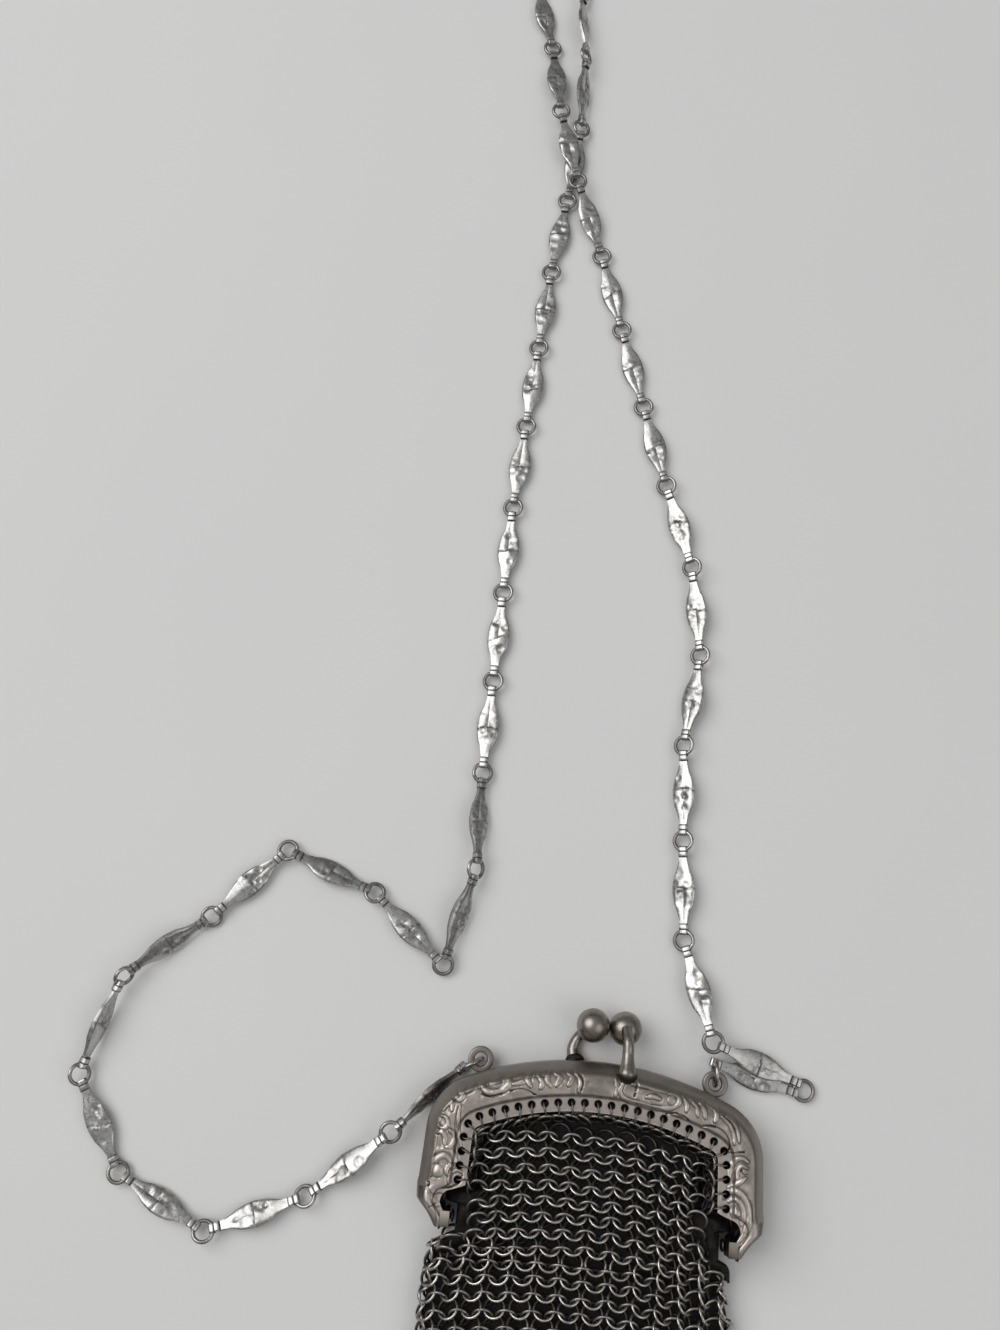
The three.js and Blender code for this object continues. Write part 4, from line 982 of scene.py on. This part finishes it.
def lattice(low_x, high_x, low_y, high_y):
    """Ring places, row by row, with which way each row tilts. The rows crowd a little towards the top."""
    rows, y = [], TOP_ROW
    while y > low_y:
        rows.append((len(rows), y))
        y -= RING_ROW * (1 - 0.08 * soft_step(-14.0, 10.0, y))
    above = int((high_y - TOP_ROW) / (TOP_CROWDING * RING_ROW))
    rows += [(-k, TOP_ROW + TOP_CROWDING * RING_ROW * k) for k in range(1, above + 1)]
    places = []
    for k, y in rows:
        start = (k % 2) * RING_PITCH / 2
        count = int((high_x - low_x) / RING_PITCH)
        places += [(low_x + start + i * RING_PITCH, y, 1 if k % 2 else -1) for i in range(count + 1)]
    return np.array(places)


def tilted(way_x, way_y, tilt, yaw):
    """Two ways that span each ring's plane, from the sheet's own two ways."""
    normal = unit(np.cross(way_x, way_y))
    first = way_x * np.cos(yaw)[:, None] + way_y * np.sin(yaw)[:, None]
    across = np.cross(normal, first)
    second = across * np.cos(tilt)[:, None] + normal * np.sin(tilt)[:, None]
    return unit(first), unit(second)


def sheet_ways(x, y):
    """The front sheet's two ways, across and along, as they rise and fall with its roof."""
    step = 0.4
    dx = (roof(x + step, y) - roof(x - step, y)) / (2 * step)
    dy = (roof(x, y + step) - roof(x, y - step)) / (2 * step)
    one, none = np.ones_like(x), np.zeros_like(x)
    return unit(np.stack([one, none, np.clip(dx, -0.5, 0.5)], -1)), unit(
        np.stack([none, one, np.clip(dy, -0.5, 0.5)], -1))


def inside_pouch(x, y, margin, arch_margin):
    """Whether a point lies inside the pouch by the margin, and inside the frame's arch by its own."""
    wide, _, _, shift = pouch_at(y)
    below = (np.abs(x - shift) < wide - margin) & (y > -POUCH_LENGTH + margin)
    arch = np.where(y > FOOT_Y - 1, inset_of(x, y) > BAND + arch_margin, True)
    corner = np.hypot(np.maximum(np.abs(x) - CORNER_X, 0), np.maximum(CORNER_Y - y, 0) * CORNER_SQUASH)
    return below & arch & (corner < CORNER_RADIUS - margin)


def front_rings(material):
    """The front sheet. Its rows sag towards both folds, most at the right, and its rings turn with them."""
    seeded = np.random.default_rng(SEED_RINGS)
    x, y, way = lattice(-31.5, 34.0, -42.5, 27.0).T
    right, left = np.clip((x - 4) / 22, 0, 1.2), np.clip((-x - 6) / 22, 0, 1.2)
    crowd = np.clip((y + 7) / 10, 0, 1)
    near = np.clip((y + 40) / 22, 0.3, 1)
    x = x * (1 - 0.05 * crowd) - 2.4 * right**2 * near + 1.0 * left**2 * near
    x = x + 0.4 * noise_field(x, y, 9.0, SEED_RINGS) * (0.4 + crowd)
    y = y + 0.35 * noise_field(x, y, 8.0, SEED_RINGS + 20) - near * (4.4 * right**1.8 + 2.6 * left**1.8)
    beside = (np.abs(x) > 16) & (y < 15)
    keep = inside_pouch(x, y, 1.6, np.where(beside, 1.75, np.where(way < 0, 1.9, 3.2)))
    x, y, way, right, left, near = (part[keep] for part in (x, y, way, right, left, near))
    n = len(x)
    jitter = seeded.normal(0, 1, (n, 5))
    rough = 0.45 + 1.5 * crowd_at(x, y)
    near_arch = np.clip((BAND + 8 - inset_of(x, y)) / 5, 0, 1) * (y > 3)
    z = roof(x, y) - 1.12 - 1.15 * near_arch - 0.17 * way
    z = z + 0.35 * noise_field(x, y, 6.0, SEED_RINGS + 40) * rough
    centres = np.stack([x + 0.11 * jitter[:, 0] * rough, y + 0.09 * jitter[:, 1] * rough,
                        z + 0.08 * jitter[:, 2] * rough], -1)
    tilt = np.radians(way * RING_TILT + 5.0 * jitter[:, 3] * rough + 9 * noise_field(x, y, 5.0, 91) * rough)
    yaw = np.radians(5.0 * jitter[:, 4] * rough + near * (24 * left**0.8 - 46 * right**0.9))
    way_x, way_y = sheet_ways(x, y)
    way_x = unit(way_x + UP * (near * (0.3 * left - 0.6 * right))[:, None])
    first, second = tilted(way_x, way_y, tilt, yaw)
    parts = Parts()
    # painted shade: the rings of every other row, tilted the other way, are dimmed to 0.6
    tone_and_shade = np.where(way < 0, 1.0, 0.6)[:, None, None]
    rings_into(parts, centres, first, second, RING_MEAN, RING_WIRE, 22, 8, 0.12, tone_and_shade)
    build("mesh_front_rings", parts, material, ["mesh_bag"])


def crowd_at(x, y):
    """How crumpled the mesh is: most beside the hinges."""
    return np.exp(-(((np.abs(x) - 21) / 6) ** 2)) * np.exp(-(((y - 3) / 7) ** 2)) + 0.2 * (y > 10)


def back_rings(material):
    """The back sheet, flat on the surface."""
    seeded = np.random.default_rng(SEED_BACK_RINGS)
    x, y, way = lattice(-29.5, 30.0, -42.0, 21.0).T
    keep = inside_pouch(x, y, 1.9, 2.6)
    x, y, way = x[keep], y[keep], way[keep]
    n = len(x)
    jitter = seeded.normal(0, 1, (n, 3))
    centres = np.stack([x + 0.06 * jitter[:, 0], y + 0.06 * jitter[:, 1], np.full(n, BACK_HIGH)], -1)
    flat_x, flat_y = np.tile([1.0, 0, 0], (n, 1)), np.tile([0, 1.0, 0], (n, 1))
    first, second = tilted(flat_x, flat_y, np.radians(-way * BACK_TILT + 2 * jitter[:, 2]), np.zeros(n))
    parts = Parts()
    rings_into(parts, centres, first, second, RING_MEAN, RING_WIRE, 16, 6)
    build("mesh_back_rings", parts, material, ["mesh_bag"])


def outline_path(margin, step):
    """Round the pouch's folded edge, from the left neck down and round to the right one."""
    left = []
    for y in np.arange(-3.4, -POUCH_LENGTH + margin, -0.4):
        xs = np.linspace(0, 30, 241)
        ok = inside_pouch(pouch_at(y)[3] - xs, np.full(241, y), margin, 0)
        if ok.any():
            left.append((float(pouch_at(y)[3] - xs[ok].max()), y))
    left = np.array(left)
    right = np.array([(2 * float(pouch_at(y)[3]) - x, y) for x, y in left])[::-1]
    line = np.concatenate([left, right])
    length = np.concatenate([[0], np.cumsum(np.linalg.norm(np.diff(line, axis=0), axis=1))])
    at = np.linspace(0, length[-1], int(length[-1] / step) + 1)
    return np.stack([np.interp(at, length, line[:, 0]), np.interp(at, length, line[:, 1])], -1)


def edge_rings(material):
    """Rings that stand round the fold between the two sheets."""
    seeded = np.random.default_rng(SEED_EDGE_RINGS)
    path = outline_path(1.15, 1.9)
    along = unit(np.gradient(path, axis=0))
    out = np.stack([-along[:, 1], along[:, 0]], -1) * -1
    n = len(path)
    jitter = seeded.normal(0, 1, (n, 4))
    lean = np.where(np.arange(n) % 2 == 0, 1.0, -1.0)
    middle = (roof(path[:, 0] * 0.96, path[:, 1]) - 0.3) / 2
    centres = np.column_stack([path + out * 0.18 * jitter[:, :1] - out * 0.25,
                               np.maximum(middle + 0.12 * jitter[:, 1], RING_MEAN + RING_WIRE)])
    flat_along = np.column_stack([along, np.zeros(n)])
    flat_out = np.column_stack([out, np.zeros(n)])
    turn = np.radians(52 * lean + 8 * jitter[:, 2])
    first = unit(flat_along * np.cos(turn)[:, None] + flat_out * np.sin(turn)[:, None] * 0.5)
    second = unit(np.tile(UP, (n, 1)) + flat_out * (0.25 * jitter[:, 3:4]))
    second = unit(second - first * (second * first).sum(1)[:, None])
    parts = Parts()
    # painted shade: these rings are darker on their deep sides, and all are dimmed to 0.85
    rings_into(parts, centres, first, second, RING_MEAN, RING_WIRE, 20, 8, 0.1, 0.85)
    build("mesh_edge_rings", parts, material, ["mesh_bag"])


def hanging_rings(material):
    """A thin ring through each of the frame's holes; at the front each holds one of the sheet's rings."""
    seeded = np.random.default_rng(SEED_EDGE_RINGS + 1)
    parts = Parts()
    for facing_up in (1, -1):
        flange = HALF_DEPTH + facing_up * (FACE[facing_up] - STEP - SHEET / 2)
        for point, out in hole_places():
            j = seeded.normal(0, 1, 6)
            inward = np.array([-out[0], -out[1], 0.0])
            along = np.array([-out[1], out[0], 0.0])
            middle = np.array([point[0], point[1], flange - facing_up * 0.35]) + inward * (0.98 + 0.04 * j[0])
            first = unit(inward + along * 0.12 * j[1])
            second = unit(UP + along * 0.10 * j[2])
            # painted shade: the ring in each hole is dimmed to 0.35 and dark on its low side
            rings_into(parts, middle[None], first[None], second[None], 1.2, 0.16, 20, 8, 0.3, 0.35)
            if facing_up > 0:
                down = middle + inward * (1.75 + 0.15 * j[3]) - UP * (0.9 + 0.15 * j[4])
                way = unit(along + inward * 0.25 * j[5])
                steep = unit(inward * 0.4 - UP * 0.9)
                # painted shade: the ring under the flange is dimmed to 0.5, standing for the shadow band
                # there
                rings_into(parts, down[None], way[None], steep[None], 1.45, RING_WIRE, 20, 8, 0.1, 0.5)
    build("mesh_hanging_rings", parts, material, ["mesh_bag"])


LINING_Y = [-41.6, -8.0, -5.0, -3.0, -1.9, -1.0, 3.1, 3.8, 5.4, 6.6, 20.0]
LINING_HALF = [30.0, 26.0, 25.4, 25.0, 24.4, 22.8, 22.7, 25.0, 24.6, 22.6, 22.5]


def lining(material):
    """A thin hollow bag of dark cloth between the sheets of rings, puckered beside the hinges."""
    stretches = ((-41.6, -5.2, 80), (-5.0, 7.0, 72), (7.3, 19.4, 44))
    ys = np.concatenate([np.linspace(*stretch) for stretch in stretches])
    turn = np.arange(144) * TAU / 144

    def section(y, shrink):
        wide, _, _, shift = (float(part) for part in pouch_at(y))
        below = max(0.0, CORNER_Y - y) * CORNER_SQUASH
        corner = CORNER_X + math.sqrt(max(1.0, (CORNER_RADIUS - 0.5) ** 2 - below**2))
        half = min(wide - 1.5 if y < -6 or y > 6.6 else 99.0, corner - 1.5)
        half = min(half, float(smooth_rows(LINING_Y, LINING_HALF, y))) - shrink
        x = shift * (y < -5) + half * np.sign(np.cos(turn)) * np.abs(np.cos(turn)) ** 0.7
        flat_y = np.full_like(x, y)
        top = roof(np.clip(x, -24, 24), flat_y) - 2.15 - shrink
        if y > 3:
            top = top - 1.3 * np.clip((BAND + 8 - inset_of(x, flat_y)) / 5, 0, 1)
        beside = np.exp(-(((np.abs(x) - 24.0) / 2.6) ** 2)) * math.exp(-(((y - 0.5) / 4.2) ** 2))
        top = top + 1.5 * beside
        bottom = 2.2 + shrink
        centre = (top + bottom) / 2
        tall = np.maximum((top - bottom) / 2, 0.12)
        swing = np.sign(np.sin(turn)) * np.abs(np.sin(turn)) ** 0.45
        fold = 0.5 * noise_field(x * 1.3 + 3, y * 0.8 + 2 * turn, 1.7, SEED_LINING) * crowd_at(x, flat_y)
        fold += 0.16 * noise_field(x, flat_y, 3.2, SEED_LINING + 1)
        z = centre + tall * swing + np.where(swing > 0, fold, 0)
        if y > -0.8:
            z = np.minimum(z, 8.0 - shrink)
        return np.stack([x, flat_y, z], -1)

    outer = [section(y, 0.0) for y in ys]
    inner = [section(y, 0.25) for y in ys[::-1]]
    parts = Parts()
    parts.tube(outer + inner)
    piece = build("lining_cloth_and_shade", parts, material, ["mesh_bag"])
    fix_normals(piece.data)


# The chain, along the CAD part's own route: x, y, links, roll, lift

LINK_PITCH, LINK_WIDTH, LINK_THICK, END_WIDTH, END_THICK = 18.5, 4.4, 1.25, 1.6, 1.45
RING_R, RING_W, END_RING_R, END_DROP = 1.75, 0.36, 2.2, math.radians(40)
LEFT_HEADING, RIGHT_HEADING = math.radians(210), math.radians(92)
LEAST_HOLD_ANGLE = math.radians(62)  # between the two links that hold one ring
LINK_SHARP_ANGLE = 16.0
ROUTE = [
    (-35.8, 13.8, 1, -58, 0), (-48.8, 2.4, 1, 25, 0), (-66.0, -5.6, 1, 20, 0), (-83.1, 1.5, 1, 20, 0),
    (-93.0, 17.2, 1, 0, 0), (-87.9, 35.2, 1, 70, 0), (-74.1, 47.4, 1, 48, 0), (-61.2, 60.8, 1, 5, 0),
    (-44.7, 55.0, 1, -25, 0), (-29.8, 43.6, 1, -10, 0), (-25.9, 61.2, 1, 45, 0), (-26.4, 79.4, 1, 40, 0),
    (-26.0, 134.4, 3, -10, 0), (-23.1, 190.8, 3, -8, 0), (-21.1, 209.6, 1, -6, 0),
    (-19.6, 228.0, 1, 0, 0), (-20.3, 246.3, 1, 50, 0), (-22.1, 264.0, 1, 60, 0), (-20.5, 282.2, 1, 20, 0),
    (-19.0, 300.7, 1, 0, 0), (-30.0, 315.5, 1, 0, 0), (-41.0, 300.7, 1, 0, 0), (-39.3, 282.2, 1, 0, 0),
    (-33.0, 264.6, 1, -10, 0), (-28.2, 247.9, 1, -10, 0), (-24.2, 230.9, 1, -6, 1.9),
    (-19.3, 214.0, 1, 0, 1.9), (-12.9, 196.3, 1, 0, 0), (4.8, 143.6, 3, 8, 0), (10.9, 126.0, 1, 25, 0),
    (13.8, 107.6, 1, 30, 0), (12.0, 89.0, 1, 32, 0), (12.9, 70.4, 1, 30, 0), (14.2, 52.2, 1, 28, 0),
    (19.5, 34.8, 1, 15, 2.6), (36.9, 27.6, 1, -4, 0),
]
SETTLE_PASSES, LIFT_PASSES = 3000, 8


def end_ring(side, heading):
    """The ring through an eye, lying away from it along the heading, and where it is held."""
    way = np.array([math.cos(heading), math.sin(heading), 0.0])
    centre = eye_centre(side)[0] + way * ((EYE_RADIUS + EYE_HOLE) / 2 + RING_W / 2)
    hold = way * math.cos(END_DROP) - UP * math.sin(END_DROP)
    return {"centre": centre, "axis": np.array([-way[1], way[0], 0.0]), "held": centre + hold * END_RING_R,
            "radius": END_RING_R}


def chain_places(first, last):
    """The rings' places in plan with each link at its full length, and their rolls and lifts."""
    before = (first["held"][0], first["held"][1], 0.0)
    points, rolls, lifts = [list(before[:2])], [], []
    for x, y, links, roll, lift in ROUTE:
        for i in range(1, links + 1):
            share = i / links
            points.append([before[0] + (x - before[0]) * share, before[1] + (y - before[1]) * share])
            lifts.append(before[2] + (lift - before[2]) * share)
            rolls.append(roll)
        before = (x, y, lift)
    points.append([last["held"][0], last["held"][1]])
    last_pair = len(points) - 2
    for _ in range(SETTLE_PASSES):
        for i in range(last_pair + 1):
            at_end = i in (0, last_pair)
            wanted = LINK_PITCH - RING_R if at_end else LINK_PITCH
            dx, dy = points[i + 1][0] - points[i][0], points[i + 1][1] - points[i][1]
            length = math.hypot(dx, dy)
            move = (length - wanted) / (1 if at_end else 2) / length
            if i > 0:
                points[i][0] += dx * move
                points[i][1] += dy * move
            if i < last_pair:
                points[i + 1][0] -= dx * move
                points[i + 1][1] -= dy * move
    return points, rolls + [0], lifts


def turned(vector, axis, angle):
    """The vector turned about the axis."""
    axis = axis / np.linalg.norm(axis)
    return (vector * math.cos(angle) + np.cross(axis, vector) * math.sin(angle)
            + axis * (axis @ vector) * (1 - math.cos(angle)))


def hold_on(ring, towards, other):
    """Where on a ring the link towards a point holds it, clear of the link on the other side."""
    def flatten(target):
        way = target - ring["centre"]
        way = way - ring["axis"] * (way @ ring["axis"])
        return way / np.linalg.norm(way)

    way, beside = flatten(towards), flatten(other)
    apart = math.acos(max(-1.0, min(1.0, way @ beside)))
    if apart < LEAST_HOLD_ANGLE:
        way = turned(way, np.cross(beside, way), (LEAST_HOLD_ANGLE - apart) / 2)
    return ring["centre"] + way * ring["radius"]


def half_height(width, thick, roll):
    """Half the height of a flat bar that is rolled on its length."""
    turn = math.radians(abs(roll))
    return (width * math.sin(turn) + thick * math.cos(turn)) / 2


def settled_chain():
    """The rings and the links of the chain: each link is its two holds and its roll."""
    first, last = end_ring(-1, LEFT_HEADING), end_ring(1, RIGHT_HEADING)
    points, rolls, lifts = chain_places(first, last)
    flat = [np.array([x, y, 0.0]) for x, y in points]
    ends = [{"centre": first["held"], "axis": None}]
    for i in range(1, len(flat) - 1):
        forward = flat[i + 1] - flat[i - 1]
        if np.linalg.norm(forward) < LINK_PITCH:
            forward = flat[i] - flat[i - 1]
        tilt = math.radians((rolls[i - 1] + rolls[i]) / 2)
        ends.append({"centre": flat[i] + UP * END_THICK / 2, "axis": turned(UP, unit(forward), tilt),
                     "radius": RING_R, "lift": lifts[i - 1]})
    ends.append({"centre": last["held"], "axis": None})

    def hold(k, other):
        if ends[k]["axis"] is None:
            return ends[k]["centre"]
        return hold_on(ends[k], ends[other]["centre"], ends[2 * k - other]["centre"])

    inner = ends[1:-1]
    for _ in range(LIFT_PASSES):
        for ring in inner:
            reach = RING_R * math.hypot(ring["axis"][0], ring["axis"][1]) + RING_W
            ring["centre"][2] += max(0.0, reach - ring["centre"][2])
        for i in range(len(ends) - 1):
            a, b = hold(i, i + 1)[2], hold(i + 1, i)[2]
            middle = half_height(LINK_WIDTH, LINK_THICK, rolls[i]) - (a + b) / 2
            end = half_height(END_WIDTH, END_THICK, rolls[i]) - min(a, b)
            sunk = max(0.0, max(middle, end) + RING_W / 3)
            for k in (i, i + 1):
                if ends[k]["axis"] is not None:
                    ends[k]["centre"][2] += sunk
    for ring in inner:
        ring["centre"][2] += ring["lift"]
    links = [(hold(i, i + 1), hold(i + 1, i), rolls[i]) for i in range(len(ends) - 1)]
    return [first, last, *inner], links


STRIP_ALONG, STRIP_ACROSS, DENTS, CAP_SIDES = 48, 19, 9, 16
LINK_ALONG = [0, 0.10, 0.135, 0.19, 0.26, 0.35, 0.5, 0.65, 0.74, 0.81, 0.865, 0.90, 1]
LINK_HALF = [0.70, 0.70, 0.72, 0.88, 1.25, 1.86, 2.2, 1.86, 1.25, 0.88, 0.72, 0.70, 0.70]
CAP = [(0.0, 0.62, 0.5), (0.10, 0.86, 1), (0.3, 0.98, 1), (0.8, 1.0, 1), (0.93, 0.98, 0.2),
       (1.0, 0.86, 0.0), (1.08, 0.97, 0.3), (1.2, 1.0, 1), (1.7, 0.98, 1), (1.95, 0.9, 0.4),
       (2.08, 0.74, 0.0)]  # along the link, thickness and wear


def link_into(parts, start, end, roll, seeded):
    """A pinched strip: a long pane that rises to a crease across the middle, two hammered lobes below it,
    a hollow back, and a folded cap at each end."""
    forward = unit(end - start)
    level = unit(np.array([-forward[1], forward[0], 0.0]))
    wide = turned(level, forward, math.radians(roll))
    thick = np.cross(forward, wide)
    if thick[2] < 0:
        wide, thick = -wide, -thick
    overlap = RING_W + (END_THICK - 2 * RING_W) / 2
    origin = start - forward * overlap
    length = np.linalg.norm(end - start) + 2 * overlap
    share = np.linspace(0.1, 0.9, STRIP_ALONG)
    half = smooth_rows(LINK_ALONG, LINK_HALF, share)
    across = np.linspace(-1, 1, STRIP_ACROSS)
    s, v = np.meshgrid(share, across, indexing="ij")
    w = half[:, None] * v
    plump = np.clip((half - 0.7) / 1.5, 0, 1)[:, None]
    middle = seeded.uniform(0.46, 0.54)
    crease = middle + 0.02 * seeded.normal() * v + 0.012 * np.sin(3 * v + seeded.uniform(0, 6))
    upper = np.clip((s - 0.13) / (middle - 0.15), 0, 1)
    pane = 0.26 + 0.40 * upper * (1 - 0.85 * np.abs(v) ** (1.1 + 0.8 * upper)) - 0.10 * plump
    lower = np.clip((0.9 - s) / (0.88 - middle), 0, 1)
    lobes = np.clip(1 - ((np.abs(v) - 0.45) / 0.62) ** 2, 0, 1)
    lobed = 0.26 + 0.30 * lower**1.3 * lobes - 0.10 * plump
    blend = 1 / (1 + np.exp(-(s - crease) / 0.006))
    top = pane * (1 - blend) + lobed * blend
    cut = np.exp(-(((s - crease) / 0.011) ** 2)) * plump
    top = top - 0.10 * cut
    wear_and_shade = 1 - 0.55 * cut
    for _ in range(DENTS):
        s0, v0 = seeded.uniform(0.3, 0.72), seeded.uniform(-0.75, 0.75)
        reach = seeded.uniform(0.5, 1.1)
        away = np.hypot((s - s0) * length, w - v0 * 2.0) / reach
        dent = np.clip(1 - away**2, 0, 1) * plump
        top = top - 0.13 * seeded.uniform(0.4, 1.2) * dent**0.7
        wear_and_shade = wear_and_shade - 0.3 * np.exp(-(((away - 1) / 0.16) ** 2)) * plump
    rim = np.clip((np.abs(v) - 0.86) / 0.14, 0, 1)
    top = top - 0.16 * rim * plump
    under = -0.42 + 0.30 * plump * (1 - v**4)
    under = np.minimum(under, top - 0.22)
    rows, tone = [], []
    for i in range(len(share)):
        place = origin + forward * length * share[i]
        up_side = [place + wide * w[i, j] + thick * top[i, j] for j in range(STRIP_ACROSS)]
        down_side = [place + wide * w[i, j] + thick * under[i, j] for j in reversed(range(STRIP_ACROSS))]
        rows.append(up_side + down_side)
        tone.append(np.concatenate([wear_and_shade[i], np.full(STRIP_ACROSS, 0.6)]))
    parts.tube(rows, wear_and_shade=np.clip(np.array(tone), 0, 1))
    for sign, at in ((1, 0.0), (-1, length)):
        loop, tone = [], []
        for along, grow, tone_and_shade in CAP:
            place = origin + forward * (at + sign * along)
            a, b = END_WIDTH / 2 * (0.9 + 0.1 * grow), END_THICK / 2 * grow
            corner = []
            for k in range(CAP_SIDES):
                turn = TAU * (k + 0.5) / CAP_SIDES
                c, d = math.cos(turn), math.sin(turn)
                corner.append(place + wide * a * math.copysign(abs(c) ** 0.35, c)
                              + thick * b * math.copysign(abs(d) ** 0.35, d))
            loop.append(corner)
            tone.append([tone_and_shade] * CAP_SIDES)
        parts.tube(loop, wear_and_shade=np.array(tone))


def chain(link_material, ring_material):
    rings, links = settled_chain()
    seeded = np.random.default_rng(SEED_LINKS)
    parts = Parts()
    for start, end, roll in links:
        link_into(parts, start, end, roll, seeded)
    piece = build("chain_links", parts, link_material, ["shoulder_chain"])
    fix_normals(piece.data)
    piece.data.set_sharp_from_angle(angle=math.radians(LINK_SHARP_ANGLE))
    parts = Parts()
    for ring in rings:
        axis = unit(ring["axis"])
        first = unit(np.cross(axis, [0.3, 0.9, 0.2]))
        second = np.cross(axis, first)
        rings_into(parts, ring["centre"][None], first[None], second[None], ring["radius"], RING_W,
                   36, 12, 0.5)
    build("chain_rings", parts, ring_material, ["shoulder_chain"])


FLOOR_HALF = 3.0  # in metres


def make_floor():
    mesh = bpy.data.meshes.new("floor")
    corners = [(x * FLOOR_HALF, y * FLOOR_HALF, 0) for x, y in ((-1, -1), (1, -1), (1, 1), (-1, 1))]
    mesh.from_pydata(corners, [], [(0, 1, 2, 3)])
    mesh.materials.append(floor_material())
    new_object("floor", mesh)


make_camera()
make_lights()
make_floor()
pewter = worn_metal("turned_pewter", (0.34, 0.31, 0.28), (0.26, 0.235, 0.21), (0.03, 0.026, 0.022),
                    (0.26, 0.40), 3.0, 0.25, worn_and_shaded=True)
# painted shade with some real oxide: the rivets' steel is made far darker than bare steel, standing for the
# shadow at the hinges
shaded_rivet_steel = worn_metal("shaded_rivet_steel", (0.12, 0.11, 0.10), (0.07, 0.065, 0.06), (0.02, 0.018, 0.016),
                         (0.35, 0.5), 1.2, 0.2)
ring_steel = worn_metal("ring_steel", (0.66, 0.63, 0.585), (0.42, 0.39, 0.36), (0.040, 0.033, 0.030),
                        (0.18, 0.32), 1.6, 0.3, worn_and_shaded=True)
link_silver = worn_metal("link_silver", (0.56, 0.555, 0.545), (0.40, 0.39, 0.375), (0.05, 0.043, 0.038),
                         (0.24, 0.36), 2.2, 0.5, worn_and_shaded=True)
wire_steel = worn_metal("wire_steel", (0.52, 0.50, 0.48), (0.32, 0.30, 0.28), (0.06, 0.053, 0.047),
                        (0.20, 0.36), 1.5, 0.3, worn_and_shaded=True)
make_frame(stamped_plate())
knob(1, pewter)
knob(-1, pewter)
rivets(shaded_rivet_steel)
front_rings(ring_steel)
back_rings(ring_steel)
edge_rings(ring_steel)
hanging_rings(ring_steel)
lining(lining_and_shade_material())
chain(link_silver, wire_steel)
